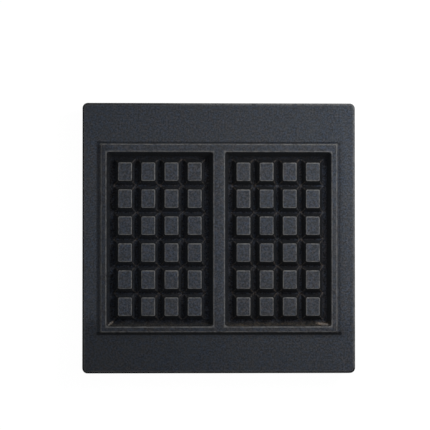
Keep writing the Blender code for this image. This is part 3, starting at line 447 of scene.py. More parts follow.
def speckled(colour, place, x, cloud, grain, inside):
    """Colour with broad and fine changes of hue, pale and dark grains, painted light that makes the grains brighter
    on the right margin and, off the land, dark drawn lines.
    """
    tint = blended(span(cloud, 0.35, 0.65), (0.88, 0.93, 1.0), (1.1, 1.03, 0.96))
    colour = blended(0.7, colour, tint, "MULTIPLY")
    hue = blended(span(noise(place, 330.0, 2.0), 0.36, 0.64), (0.84, 0.99, 1.16), (1.16, 1.0, 0.86))
    colour = blended(0.8, colour, hue, "MULTIPLY")
    # Painted light on the right margin, brightening the grains
    speck_and_light = span(grain, 0.34, 0.66, 0.15, 1.95) * span(x, 104.0 * MM, 118.0 * MM, 1.0, RIGHT_PAINTED_LIGHT)
    grey = output(place.tree, "ShaderNodeCombineColor", ((0, speck_and_light), (1, speck_and_light), (2, speck_and_light)))
    colour = blended(0.85, colour, grey, "MULTIPLY")
    drawn = span(noise(stretched(place, (0.16, 1.0, 1.0)), 560.0, 2.0), 0.35, 0.65)
    return blended(drawn * (0.22 - inside * 0.22), colour, SOOT_AND_SHADE)


def bare_inside(colour, place, z, past_land, past_edge):
    """Colour with bare iron and a trace of rust on the underside, inside the skirt."""
    around = span(past_land, -4.2 * MM, -3.8 * MM) * span(z, *MARGIN_UNDERSIDE)
    bare = span(past_edge, -3.2 * MM, -3.7 * MM) * most(span(z, *UNDERSIDE), around)
    rust = blended(span(noise(place, 38.0, 6.0, 0.6), 0.42, 0.66), UNDER_DARK, UNDER_BROWN)
    return blended(bare * 0.85, colour, rust)


def iron_wear(place, z, past_land, past_edge, past_pocket):
    """Wear of the outer edges, off the skirt's faces, and on the land only close to the rims."""
    to_rim = maths("MINIMUM", abs(past_pocket), abs(past_land))
    line = most(span(to_rim, 1.3 * MM, 0.8 * MM), span(z, *BELOW_LAND))
    patch = span(noise(place, 210.0, 4.0, 0.7), 0.34, 0.62, 0.25, 1.0)
    edges = most(span(z, *SHOULDER_WEAR), span(z, *RIM_WEAR))
    apron = span(past_land, 0.6 * MM, 1.0 * MM) * span(past_edge, -2.9 * MM, -3.3 * MM)
    line *= maths("SUBTRACT", edges, apron, clamp=True)
    return maths("MULTIPLY", wear_of(place.tree), patch * line, clamp=True)


def cast_iron():
    """Seasoned black casting: bluish margins, greyer land and pegs, grooves darkened with painted shade, painted
    shade and shadow around the outer edge and the land's foot, painted highlights on ridges and rear-facing edges,
    painted light on the pockets' front walls, bare and rusty underneath.
    """
    material, tree, shader = new_material("cast_iron")
    place = place_of(tree)
    x, y, z = axes_of(place)
    facing = axes_of(output(tree, "ShaderNodeNewGeometry", key="Normal"))
    past_land = outside_of(x, y, LAND_HALF_X, LAND_HALF_Y)
    past_edge = past_outline(x, y)
    past_pocket = outside_of(abs(x) - POCKET_X, y - POCKET_Y, POCKET_HALF_X, POCKET_HALF_Y)
    above = span(z, *TOP_SIDE)
    inside = span(past_land, 2.0 * MM, 0.0) * above
    sunk = inside * span(z, *IN_POCKET)
    grain = noise(place, 640.0, 2.0, 0.6)
    cloud = noise(place, 14.0, 4.0, 0.5)
    upright = span(abs(facing[2]), 0.6, 0.3)
    mottle = (noise(place, 95.0, 5.0, 0.62, 0.4) - 0.5) * span(upright, 0.0, 1.0, 1.0, 0.4) + 0.5
    light = span(mottle, 0.3, 0.7)
    colour = blended(inside, blended(light, MARGIN_DARK, MARGIN_LIGHT), blended(light, LAND_DARK, LAND_LIGHT))
    # Painted shade towards the front and on the land's left, and a little darker at the rear
    darkened = darkened_areas(x, y, inside)
    colour = blended(darkened, colour, SOOT_AND_SHADE)
    # Painted shade in the pockets
    colour = blended(sunk * pocket_shade(x, y, z), colour, SOOT_AND_SHADE)
    # Painted highlight along the pegs' slanting corner edges in the pockets
    colour = blended(peg_ridges(x, y, past_pocket) * (sunk * RIDGE_HIGHLIGHT_SHARE), colour, RIDGE_HIGHLIGHT)
    colour = fat_and_painted_light(colour, place, x, y, sunk)
    # Painted shade on the plate's outer edge, kept off the land
    side = maths("SUBTRACT", edge_shade(x, y, z, facing, past_edge), inside, clamp=True)
    # Painted shade on the outer edge and painted shadow along the land's foot
    painted_shade = most(side, land_foot_shadow(x, y, z, past_land, above))
    colour = blended(painted_shade, colour, SOOT_AND_SHADE)
    colour = speckled(colour, place, x, cloud, grain, inside)
    colour = bare_inside(colour, place, z, past_land, past_edge)
    wear = iron_wear(place, z, past_land, past_edge, past_pocket) * (1.0 - most(sunk, side))
    # Worn edges facing the rear get a painted highlight
    worn_and_highlit = blended(span(facing[1], 0.1, 0.5), WORN, REAR_EDGE_HIGHLIGHT)
    colour = blended(wear * 0.85, colour, worn_and_highlit)
    rough = span(mottle, 0.25, 0.75, 0.5, 0.66) + wear * -0.1
    rough = maths("ADD", rough, most(sunk, painted_shade, darkened) * 0.45, clamp=True)
    shader.inputs["Specular IOR Level"].default_value = IRON_SPECULAR
    shader.inputs["Specular Tint"].default_value = (*IRON_TINT, 1.0)
    pores = output(tree, "ShaderNodeTexVoronoi", (("Vector", place), ("Scale", 520.0)), "Distance")
    coarse = bumped(cloud, 0.9 * MM, 0.35)
    fine = bumped(span(pores, 0.0, 0.32) * mottle, 0.09 * MM, 0.6, coarse)
    dress(shader, colour, rough, bumped(grain, 0.26 * MM, 0.8, fine))
    return material


def metal(name, dark, light, rough, brush=None, spot=0.0, edge=None):
    """Plain metal with clouding, fine lines along brush, spots of tarnish and brighter outer edges."""
    material, tree, shader = new_material(name)
    place = place_of(tree)
    cloud = noise(place, 60.0, 5.0, 0.6, 0.5)
    colour = blended(span(cloud, 0.32, 0.68), dark, light)
    tarnish = span(noise(place, 190.0, 6.0, 0.7), 0.56, 0.72, 0.0, spot)
    colour = blended(tarnish, colour, tuple(0.45 * value for value in dark))
    colour = blended(wear_of(tree) * 0.5, colour, edge or light)
    shader.inputs["Metallic"].default_value = 1.0
    lines = noise(stretched(place, brush or (1.0, 1.0, 1.0)), 1200.0 if brush else 2400.0, 3.0, 0.6)
    spread = span(lines, 0.3, 0.7, rough - 0.06, rough + 0.06) + tarnish * 0.4
    dress(shader, colour, spread, bumped(lines, 0.02 * MM, 0.5, bumped(cloud, 0.15 * MM, 0.25)))
    return material


def heater_sheath():
    """Drawn steel tube, straw to blue-grey where it has been hot, cleaner at its cold ends."""
    material, tree, shader = new_material("heater_steel")
    place = place_of(tree)
    y = axes_of(place)[1]
    cloud = noise(place, 42.0, 5.0, 0.6, 0.8)
    hot = blended(span(cloud, 0.36, 0.62), (0.085, 0.078, 0.08), (0.17, 0.125, 0.09))
    cold = span(y + cloud * 0.02, 82.0 * MM, 106.0 * MM)
    colour = blended(cold, hot, (0.42, 0.39, 0.34))
    scale = span(noise(place, 420.0, 5.0, 0.7), 0.5, 0.7)
    colour = blended(scale * 0.5, colour, (0.05, 0.045, 0.045))
    shader.inputs["Metallic"].default_value = 1.0
    dress(shader, colour, span(scale, 0.0, 1.0, 0.36, 0.62), bumped(noise(place, 700.0), 0.05 * MM, 0.5))
    return material


def ceramic():
    """Unglazed steatite: cream, faintly speckled, with brown handling marks."""
    material, tree, shader = new_material("steatite")
    place = place_of(tree)
    cloud = noise(place, 120.0, 5.0, 0.6)
    colour = blended(span(cloud, 0.35, 0.65), (0.72, 0.68, 0.59), (0.84, 0.8, 0.72))
    colour = blended(span(noise(place, 1500.0, 3.0), 0.62, 0.72) * 0.45, colour, (0.33, 0.26, 0.18))
    colour = blended(span(noise(place, 70.0, 6.0, 0.7), 0.55, 0.75) * 0.35, colour, (0.4, 0.34, 0.27))
    colour = blended(wear_of(tree) * 0.4, colour, (0.88, 0.86, 0.8))
    dress(shader, colour, span(cloud, 0.3, 0.7, 0.5, 0.68), bumped(noise(place, 1100.0, 3.0), 0.04 * MM, 0.6))
    return material


def red_plastic():
    """Moulded heat-proof plastic of the reset button, scuffed at its rim."""
    material, tree, shader = new_material("red_plastic")
    place = place_of(tree)
    cloud = noise(place, 300.0)
    colour = blended(span(cloud, 0.35, 0.65), (0.42, 0.03, 0.025), (0.58, 0.05, 0.04))
    colour = blended(wear_of(tree) * 0.5, colour, (0.68, 0.22, 0.18))
    dress(shader, colour, span(cloud, 0.3, 0.7, 0.38, 0.52), bumped(noise(place, 2600.0, 2.0), 0.02 * MM, 0.5))
    return material


# Dark and light colour, roughness, direction of the lines, tarnish and colour of the edges
METALS = {
    "zinc_steel": ((0.42, 0.43, 0.44), (0.6, 0.6, 0.58), 0.34, None, 0.45),
    "aluminium": ((0.6, 0.6, 0.61), (0.74, 0.74, 0.74), 0.3, (1.0, 18.0, 18.0)),
    "bimetal": ((0.42, 0.31, 0.22), (0.58, 0.44, 0.32), 0.33, (18.0, 1.0, 18.0), 0.3),
    "brass": ((0.5, 0.36, 0.15), (0.72, 0.55, 0.26), 0.32, None, 0.5),
    "blackened_steel": ((0.035, 0.035, 0.04), (0.09, 0.088, 0.09), 0.42, None, 0.0, (0.3, 0.3, 0.3)),
}
looks = {name: metal(name, *recipe) for name, recipe in METALS.items()}
looks.update(cast_iron=cast_iron(), heater_steel=heater_sheath(), steatite=ceramic(), red_plastic=red_plastic())


# Shapes


def ring(bm, height, half_x, half_y, radius, steps):
    """Points along a rectangle with round corners."""
    verts = []
    for quarter, (side_x, side_y) in enumerate(((1, 1), (-1, 1), (-1, -1), (1, -1))):
        centre = Vector((side_x * (half_x - radius), side_y * (half_y - radius), height))
        for step in range(steps + 1):
            angle = pi / 2 * (quarter + step / steps)
            verts.append(bm.verts.new(centre + radius * Vector((cos(angle), sin(angle), 0.0))))
    return verts


def skinned(bm, loops, hollow=False):
    """Faces between loops of points, and over both ends, or from the last loop to the first of a hollow body."""
    for lower, upper in zip(loops, loops[1:] + loops[:1] if hollow else loops[1:]):
        for i in range(len(lower)):
            bm.faces.new((lower[i - 1], lower[i], upper[i], upper[i - 1]))
    if not hollow:
        bm.faces.new(loops[0])
        bm.faces.new(loops[-1])
    bmesh.ops.recalc_face_normals(bm, faces=bm.faces)
    return bm


def spread(outline, out, corner_out=0.0):
    """An outline with its sides and its corner radius moved out."""
    half_x, half_y, corner = outline
    return half_x + out, half_y + out, corner + corner_out


def lofted_block(levels, steps):
    """A block lofted through levels, each a height, a half width, a half depth and a corner radius."""
    bm = bmesh.new()
    return skinned(bm, [ring(bm, *level, steps) for level in levels])


def quarter_turn(radius, steps):
    """Pairs along a quarter circle: the first falls from radius to 0 as the second rises from 0 to radius."""
    angles = [pi / 2 * step / steps for step in range(steps + 1)]
    return [(radius * (1 - sin(angle)), radius * (1 - cos(angle))) for angle in angles]


def edge_round(height, outline, radius, steps=4, rim=0.5 * MM):
    """Levels of a rounded top edge, with a level before and after it that ends the wear."""
    levels = [(height - radius - rim, *outline)]
    levels += [(height - drop, *spread(outline, -inset, -inset)) for drop, inset in quarter_turn(radius, steps)]
    last = max(-radius - rim, 0.15 * MM - outline[2])
    return [*levels, (height, *spread(outline, -radius - rim, last))]


def cylinder(radius, bottom, top, centre=(0.0, 0.0), sides=48, top_radius=None):
    bm = bmesh.new()
    place = Matrix.Translation((centre[0], centre[1], (bottom + top) / 2))
    radius2 = radius if top_radius is None else top_radius
    bmesh.ops.create_cone(
        bm, cap_ends=True, segments=sides, radius1=radius, radius2=radius2, depth=top - bottom, matrix=place
    )
    return bm


def cuboid(low, high):
    bm = bmesh.new()
    size = [b - a for a, b in zip(low, high)]
    centre = [(a + b) / 2 for a, b in zip(low, high)]
    bmesh.ops.create_cube(bm, size=1.0, matrix=Matrix.Translation(centre) @ Matrix.Diagonal((*size, 1.0)))
    return bm


def moved(bm, x, y):
    bmesh.ops.translate(bm, vec=(x, y, 0.0), verts=bm.verts)
    return bm


def merged(shapes):
    """One shape made of several, which it uses up."""
    bm = bmesh.new()
    for shape in shapes:
        mesh = bpy.data.meshes.new("merged")
        shape.to_mesh(mesh)
        shape.free()
        bm.from_mesh(mesh)
        bpy.data.meshes.remove(mesh)
    return bm


# Pieces


def link(name, bm):
    """A new object in the scene from a shape, which it uses up."""
    mesh = bpy.data.meshes.new(name)
    bm.to_mesh(mesh)
    bm.free()
    made = bpy.data.objects.new(name, mesh)
    bpy.context.scene.collection.objects.link(made)
    return made


def apply_modifiers(obj):
    graph = bpy.context.evaluated_depsgraph_get()
    mesh = bpy.data.meshes.new_from_object(obj.evaluated_get(graph))
    obj.modifiers.clear()
    old = obj.data
    obj.data = mesh
    bpy.data.meshes.remove(old)


def boolean(target, operation, bm):
    """Joins a shape to an object's mesh or cuts it from it, for good."""
    tool = link("tool", bm)
    modifier = target.modifiers.new("boolean", "BOOLEAN")
    modifier.operation = operation
    modifier.solver = "EXACT"
    modifier.object = tool
    apply_modifiers(target)
    bpy.data.objects.remove(tool, do_unlink=True)


def soften(obj, width):
    """Rounds an object's sharp edges, for good."""
    modifier = obj.modifiers.new("soft", "BEVEL")
    modifier.width = width
    modifier.segments = 3
    modifier.limit_method = "ANGLE"
    modifier.angle_limit = SOFTENED
    apply_modifiers(obj)


def wear_edges(mesh):
    """Writes how convex each vertex is, from 0 on flat faces and inner corners to 1 on outer edges."""
    bm = bmesh.new()
    bm.from_mesh(mesh)
    values = []
    for vert in bm.verts:
        turn = max((edge.calc_face_angle_signed(0.0) for edge in vert.link_edges), default=0.0)
        values.append(max(0.0, min(1.0, turn / WORN_TURN)))
    bm.free()
    made = mesh.attributes.new("wear", "FLOAT", "POINT")
    made.data.foreach_set("value", values)


slot_of = {row["node"]: row["material_slot"] for row in frame["record"]["subparts"]}


def finish_piece(obj, node, body=BODY, sharp=SHARP):
    """Shades a piece, dresses it and lets it stand for its CAD node."""
    slot = slot_of[node]
    wear_edges(obj.data)
    obj.data.shade_smooth()
    obj.data.set_sharp_from_angle(angle=sharp)
    obj.data.materials.clear()
    obj.data.materials.append(looks[slot])
    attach(obj, body)
    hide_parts(node)


# Casting


def heater_points(steps):
    """Points of the heater's centre line, from its left end to its right end."""
    points = [Vector((-1.5 * RUN_SPACING, TUBE_END_Y, TUBE_Z))]
    for bend, (centre_y, turn) in enumerate(BENDS):
        centre = Vector(((bend - 1) * RUN_SPACING, centre_y, TUBE_Z))
        for step in range(steps + 1):
            angle = pi * (1 + turn * step / steps)
            points.append(centre + RUN_SPACING / 2 * Vector((cos(angle), sin(angle), 0.0)))
    points.append(Vector((1.5 * RUN_SPACING, TUBE_END_Y, TUBE_Z)))
    return points


def swept_tube(points, radii, sides):
    """A closed round tube along points that lie level, with a radius at each point."""
    bm = bmesh.new()
    loops = []
    for i, (point, radius) in enumerate(zip(points, radii)):
        ahead = points[min(i + 1, len(points) - 1)]
        behind = points[max(i - 1, 0)]
        along = (ahead - behind).normalized()
        across = Vector((-along.y, along.x, 0.0))
        verts = []
        for side in range(sides):
            angle = 2 * pi * side / sides
            arm = cos(angle) * across + sin(angle) * Vector((0.0, 0.0, 1.0))
            verts.append(bm.verts.new(point + radius * arm))
        loops.append(verts)
    return skinned(bm, loops)


def pocket_space(side):
    """Space of one pocket, wider towards its rim, filleted at its floor and rounded out over the land."""
    slope = POCKET_DRAFT / (PLATE_HEIGHT - POCKET_FLOOR_Z)
    levels = []
    for inset, rise in quarter_turn(POCKET_FILLET, 4):
        levels.append((POCKET_FLOOR_Z + rise, *spread(POCKET, slope * rise - POCKET_DRAFT - inset, -inset / 2)))
    below = 0.5 * MM
    levels.append((PLATE_HEIGHT - POCKET_ROUND - below, *spread(POCKET, -slope * below)))
    for drop, outset in quarter_turn(POCKET_ROUND, 4):
        levels.append((PLATE_HEIGHT - drop, *spread(POCKET, outset, outset)))
    levels.append((PLATE_HEIGHT + SINK, *levels[-1][1:]))
    return moved(lofted_block(levels, 6), side * POCKET_X, POCKET_Y)


def peg(x, y):
    """One tapered peg with a fillet at its foot and a rounded top edge."""
    slope = PEG_DRAFT / (PEG_TOP_Z - POCKET_FLOOR_Z)
    foot = []
    for outset, rise in quarter_turn(PEG_FILLET, 3):
        foot.append((POCKET_FLOOR_Z + rise, *spread(PEG, PEG_DRAFT + outset - slope * rise, outset)))
    root = (POCKET_FLOOR_Z - SINK, *foot[0][1:])
    wall = 1.3 * MM
    low = (PEG_TOP_Z - wall, *spread(PEG, slope * wall))
    top = edge_round(PEG_TOP_Z, PEG, PEG_ROUND, 4, 0.35 * MM)[1:]
    return moved(lofted_block([root, *foot, low, *top], 4), x, y)


def casting():
    """Plate with its land, core and skirt, then pockets, pegs, pillars, ribs, bosses, heater seats and holes."""
    rim = (SKIRT_RIM_Z, *spread(PLATE, -SKIRT_DRAFT))
    shoulder = edge_round(MARGIN_Z, PLATE, EDGE_ROUND, 5, 1.5 * MM)
    foot_x = LAND_HALF_X + LAND_FLARE_X
    foot_y = LAND_HALF_Y + LAND_FLARE_Y
    foot_corner = LAND_CORNER + LAND_FLARE_Y
    flank = [(MARGIN_Z, foot_x + FOOT_LINE_X, foot_y + FOOT_LINE, foot_corner + FOOT_LINE_X)]
    flank.append((MARGIN_Z - FOOT_LINE, foot_x + FOOT_LINE_X / 4, foot_y + FOOT_LINE / 4, foot_corner))
    for rise, flare in LAND_FLANK:
        reach = (LAND_HALF_X + flare * LAND_FLARE_X, LAND_HALF_Y + flare * LAND_FLARE_Y)
        flank.append((MARGIN_Z + rise * (PLATE_HEIGHT - MARGIN_Z), *reach, LAND_CORNER + flare * LAND_FLARE_Y))
    top = edge_round(PLATE_HEIGHT, LAND, LAND_ROUND, 4, 0.35 * MM)
    plate = link("plate_casting", lofted_block([rim, *shoulder, *flank, *top[2:]], 8))
    inner = spread(PLATE, -SKIRT_WALL)
    roof = edge_round(MARGIN_UNDER_Z, spread(inner, -SKIRT_DRAFT), CORE_ROUND)[1:-1]
    boolean(plate, "DIFFERENCE", lofted_block([(SKIRT_RIM_Z - SINK, *inner), *roof], 8))
    roof_z = MARGIN_UNDER_Z + SINK
    under = edge_round(-CORE_UNDER_Z, spread(CORE, -CORE_DRAFT), CORE_ROUND)[1:-1]
    levels = [(-height, *outline) for height, *outline in reversed(under)]
    boolean(plate, "UNION", lofted_block([*levels, (roof_z, *CORE)], 6))
    boolean(plate, "DIFFERENCE", merged([pocket_space(-1), pocket_space(1)]))
    columns = [side * POCKET_X + (column - 1.5) * PEG_PITCH_X for side in (-1, 1) for column in range(4)]
    rows = [POCKET_Y + (row - 2.5) * PEG_PITCH_Y for row in range(6)]
    boolean(plate, "UNION", merged([peg(x, y) for x in columns for y in rows]))
    pillars = [(sx * PILLAR_X, sy * PILLAR_Y) for sx in (-1, 1) for sy in (-1, 1)]
    legs = [cylinder(PILLAR_RADIUS, 0.0, roof_z, p, top_radius=PILLAR_ROOT_RADIUS) for p in pillars]
    boolean(plate, "UNION", merged(legs))
    low = MARGIN_UNDER_Z - RIB_DEPTH
    across = []
    along = []
    for x, y in pillars:
        left, right = sorted((x, copysign(inner[0] + SINK, x)))
        front, rear = sorted((y, copysign(inner[1] + SINK, y)))
        across.append(cuboid((left, y - RIB_HALF, low), (right, y + RIB_HALF, roof_z)))
        along.append(cuboid((x - RIB_HALF, front, low), (x + RIB_HALF, rear, roof_z)))
    boolean(plate, "UNION", merged(across))
    boolean(plate, "UNION", merged(along))
    core = CORE_UNDER_Z + SINK
    clamps = [(x * RUN_SPACING, y * BAR_Y) for x in (-1, 0, 1) for y in (-1, 1)]
    cutout_screws = [(CUTOUT_X, side * CUTOUT_SCREW_Y) for side in (-1, 1)]
    bosses = []
    holes = [cylinder(PILLAR_BORE, -SINK, PILLAR_BORE_TOP, p, 32) for p in pillars]
    # Places, boss radius, its seat and root, bore, the bore's top and its number of sides
    for places, radius, seat, root, bore, bore_top, sides in (
        (clamps, 7.0 * MM, 13.5 * MM, core, SCREW_BORE, 20.8 * MM, 32),
        ([(0.0, FOOT_Y)], 3.6 * MM, 15.5 * MM, core, SMALL_BORE, 19.8 * MM, 24),
        (cutout_screws, 3.6 * MM, 15.1 * MM, core, SMALL_BORE, 19.4 * MM, 24),
        ([(0.0, EARTH_Y)], 6.0 * MM, EARTH_SEAT_Z, roof_z, EARTH_BORE, 30.1 * MM, 32),
    ):
        bosses += [cylinder(radius, seat, root, p) for p in places]
        holes += [cylinder(bore, seat - SINK, bore_top, p, sides) for p in places]
    boolean(plate, "UNION", merged(bosses))
    route = heater_points(24)
    boolean(plate, "DIFFERENCE", swept_tube(route, [TUBE_RADIUS + GAP] * len(route), 32))
    boolean(plate, "DIFFERENCE", merged(holes))
    finish_piece(plate, "baking_plate")


# Shapes of the fittings


def circles(bm, levels, sides):
    """Round loops of points at levels, each a height and a radius."""
    loops = []
    for height, radius in levels:
        turns = [2 * pi * side / sides for side in range(sides)]
        loops.append([bm.verts.new((radius * cos(turn), radius * sin(turn), height)) for turn in turns])
    return loops


def turned(levels, sides=40, hollow=False, unit=MM):
    """A body turned about Z through levels, each a height and a radius; a hollow one closes on itself."""
    bm = bmesh.new()
    return skinned(bm, circles(bm, [(height * unit, radius * unit) for height, radius in levels], sides), hollow)


def washer(outer, inner, low, high, soft=SOFT):
    """A flat ring with its four edges turned off."""
    levels = [(low, inner + soft), (low, outer - soft), (low + soft, outer), (high - soft, outer)]
    levels += [(high, outer - soft), (high, inner + soft), (high - soft, inner), (low + soft, inner)]
    return turned(levels, 48, True, 1.0)


def corner_loop(bm, flats, height, rise):
    """Points around a hexagon, higher by rise where its corners are turned off."""
    loop = []
    for side in range(HEX_SIDES):
        angle = 2 * pi * side / HEX_SIDES
        off_flat = (angle + pi / 6) % (pi / 3) - pi / 6
        reach = flats / 2 / cos(off_flat)
        up = rise * (reach - HEX_TURNED * flats) * tan(pi / 6)
        loop.append(bm.verts.new((reach * cos(angle), reach * sin(angle), height + up)))
    return loop


def hexagon_nut(flats, low, high, bore):
    """A nut whose corners are turned off at both ends."""
    bm = bmesh.new()
    face = HEX_TURNED * flats
    loops = circles(bm, [(low, face)], HEX_SIDES)
    loops += [corner_loop(bm, flats, low, 1), corner_loop(bm, flats, high, -1)]
    levels = [(high, face), (high, bore + SOFT), (high - SOFT, bore), (low + SOFT, bore), (low, bore + SOFT)]
    return skinned(bm, loops + circles(bm, levels, HEX_SIDES), hollow=True)


def thread_loops(bm, radius, pitch, low, high, sides):
    """Loops of points along a rod with one screw thread, turned off at its high end."""
    depth = 0.45 * pitch
    steps = round(4 * (high - low) / pitch)
    loops = []
    for step in range(steps + 1):
        height = low + (high - low) * step / steps
        crest = radius - depth + min(depth, high - height)
        loop = []
        for side in range(sides):
            angle = 2 * pi * side / sides
            wave = abs(2 * ((height / pitch - side / sides) % 1.0) - 1)
            reach = min(crest, radius - depth * wave)
            loop.append(bm.verts.new((reach * cos(angle), reach * sin(angle), height)))
        loops.append(loop)
    return loops


def stud(radius, pitch, low, high, sides=24):
    """A threaded rod, turned off at both ends."""
    bm = bmesh.new()
    ends = circles(bm, [(low, radius - 0.5 * pitch), (low + 0.1 * pitch, radius - 0.45 * pitch)], sides)
    return skinned(bm, ends + thread_loops(bm, radius, pitch, low + 0.2 * pitch, high, sides))


def strip(path, half_width, thickness):
    """Sheet of even thickness along X, bent to a path of Y and Z places."""
    points = [Vector(place) for place in path]
    steps = [(after - here).normalized() for here, after in zip(points, points[1:])]
    sides = []
    for back, ahead in zip(steps[:1] + steps, steps + steps[-1:]):
        mean = (ahead + back).normalized()
        sides.append(Vector((-mean.y, mean.x)) * (thickness / 2 / max(0.3, mean.dot(ahead))))
    outline = [here + side for here, side in zip(points, sides)]
    outline += [here - side for here, side in zip(points[::-1], sides[::-1])]
    bm = bmesh.new()
    return skinned(bm, [[bm.verts.new((x, y, z)) for y, z in outline] for x in (-half_width, half_width)])


def bent(corners, radius, steps=5):
    """A path through corners of Y and Z places, each rounded to an arc."""
    path = [corners[0]]
    for before, here, after in zip(corners, corners[1:], corners[2:]):
        here = Vector(here)
        back = (Vector(before) - here).normalized()
        ahead = (Vector(after) - here).normalized()
        half_turn = back.angle(ahead) / 2
        centre = here + (back + ahead).normalized() * (radius / sin(half_turn))
        start = here + back * (radius / tan(half_turn)) - centre
        end = here + ahead * (radius / tan(half_turn)) - centre
        path += [centre + start.lerp(end, step / steps).normalized() * radius for step in range(steps + 1)]
    return [*path, corners[-1]]


def fitting(node, bm, place=(0.0, 0.0, 0.0), lying=False, joined=None, holes=(), soft=0.0, body=BODY, sharp=SHARP):
    """A detailed piece in place of one CAD node: built about Z, laid along Y where it lies, and set in place."""
    turn = Matrix.Rotation(-pi / 2, 4, "X") if lying else Matrix.Identity(4)
    piece = link(f"{node}_piece", bm)
    if joined:
        boolean(piece, "UNION", joined)
    if holes:
        boolean(piece, "DIFFERENCE", merged(holes))
    if soft:
        soften(piece, soft)
    piece.data.transform(Matrix.Translation(place) @ turn)
    finish_piece(piece, node, body, sharp)


# Heater and its clamps


def heater():
    """The bent tube, with a groove rolled into each end."""
    left, *inner, right = heater_points(48)
    groove = [(0.0, 3.6), (0.5, 4.0), (3.0, 4.0), (3.4, 3.7), (4.2, 3.7), (4.6, 4.0)]
    first = [(left - Vector((0.0, far * MM, 0.0)), radius * MM) for far, radius in groove]
    last = [(right - Vector((0.0, far * MM, 0.0)), radius * MM) for far, radius in groove[::-1]]
    points, radii = zip(*first, *((point, TUBE_RADIUS) for point in inner), *last)
    fitting("heating_element", swept_tube(points, radii, 40))


def terminal(ending, x):
    """Bush, pin, washer and nut in one end of the heater."""
    place = (x, TUBE_END_Y + GAP, TUBE_Z)
    bush = [(0.0, 4.2), (0.3, 4.5), (2.6, 4.5), (2.9, 4.2), (3.7, 4.2), (4.0, 4.5), (6.4, 4.5), (7.0, 3.9)]
    bush += [(7.0, 2.9), (9.2, 2.9), (9.5, 2.6), (9.5, 1.8), (4.2, 1.8)]
    pin = stud(SMALL_RADIUS, SMALL_PITCH, 4.5 * MM, 18.5 * MM)
    disc = washer(3.6 * MM, SMALL_BORE, 9.8 * MM, 10.6 * MM, 0.15 * MM)
    nut = hexagon_nut(6.0 * MM, 10.9 * MM, 13.5 * MM, SMALL_BORE)
    for kind, shape in (("bush", turned(bush)), ("pin", pin), ("washer", disc)):
        fitting(f"terminal_{kind}_{ending}", shape, place, lying=True)
    fitting(f"terminal_nut_{ending}", nut, place, lying=True, sharp=CRISP)


def clamp_bar(ending, y):
    """A pressed channel with rounded bends, holding the heater up."""
    edge = (BAR_WIDTH - BAR_SHEET) / 2
    web = BAR_TOP_Z - BAR_SHEET / 2
    low = BAR_TOP_Z - BAR_SHEET - BAR_FLANGE
    corners = ((-edge, low), (-edge, web), (edge, web), (edge, low))
    shape = strip(bent(corners, BAR_BEND - BAR_SHEET / 2), BAR_HALF, BAR_SHEET)
    screws = [(x * RUN_SPACING, 0.0) for x in (-1, 0, 1)]
    holes = [cylinder(SCREW_BORE, web - 2 * BAR_SHEET, web + 2 * BAR_SHEET, p, 32) for p in screws]
    fitting(f"clamp_bar_{ending}", shape, (0.0, y, 0.0), holes=holes, soft=0.35 * MM)


def clamp_screw(ending, x, y):
    """A hexagon screw and its washer."""
    washer_top = BAR_TOP_Z - BAR_SHEET - GAP
    washer_low = washer_top - WASHER_SHEET
    head_top = washer_low - GAP
    head_low = head_top - SCREW_HEAD_HEIGHT
    face = HEX_TURNED * SCREW_HEAD_FLATS
    neck = head_top - 0.3 * MM
    bm = bmesh.new()
    loops = circles(bm, [(head_low + 0.4 * MM, 2.6 * MM), (head_low, 3.2 * MM), (head_low, face)], HEX_SIDES)
    loops += [corner_loop(bm, SCREW_HEAD_FLATS, head_low, 1), corner_loop(bm, SCREW_HEAD_FLATS, neck, 0)]
    loops += circles(bm, [(neck, face), (head_top, face)], HEX_SIDES)
    loops += thread_loops(bm, SCREW_RADIUS, SCREW_PITCH, head_top, SCREW_TIP_Z, HEX_SIDES)
    fitting(f"clamp_screw_{ending}", skinned(bm, loops), (x, y, 0.0), sharp=CRISP)
    fitting(f"clamp_washer_{ending}", washer(WASHER_RADIUS, SCREW_BORE, washer_low, washer_top), (x, y, 0.0))


def slotted_screw(node, x, y, seat, tip):
    """A cheese-head screw hanging under its seat."""
    top = seat - GAP
    low = top - SMALL_HEAD_HEIGHT
    levels = [(low, SMALL_HEAD_RADIUS - 0.5 * MM), (low + 0.15 * MM, SMALL_HEAD_RADIUS - 0.2 * MM)]
    levels += [(low + 0.5 * MM, SMALL_HEAD_RADIUS), (top, SMALL_HEAD_RADIUS)]
    bm = bmesh.new()
    shape = skinned(bm, circles(bm, levels, 36) + thread_loops(bm, SMALL_RADIUS, SMALL_PITCH, top, tip, 36))
    reach = SMALL_HEAD_RADIUS + SINK
    slot = cuboid((-reach, -SLOT_HALF, low - SINK), (reach, SLOT_HALF, low + SLOT_DEPTH))
    fitting(node, shape, (x, y, 0.0), holes=[slot])


# Thermostat


def blade(half_x, half_y, corner, low, high, x, y):
    """A flat sheet with round corners, with its middle at x and y."""
    return moved(lofted_block([(height, half_x, half_y, corner) for height in (low, high)], 8), x, y)


def stack_hole(low, high):
    """A hole for the rivet through one sheet of the stack."""
    return cylinder(STACK_BORE, low - SINK, high + SINK, (0.0, STACK_Y), 32)


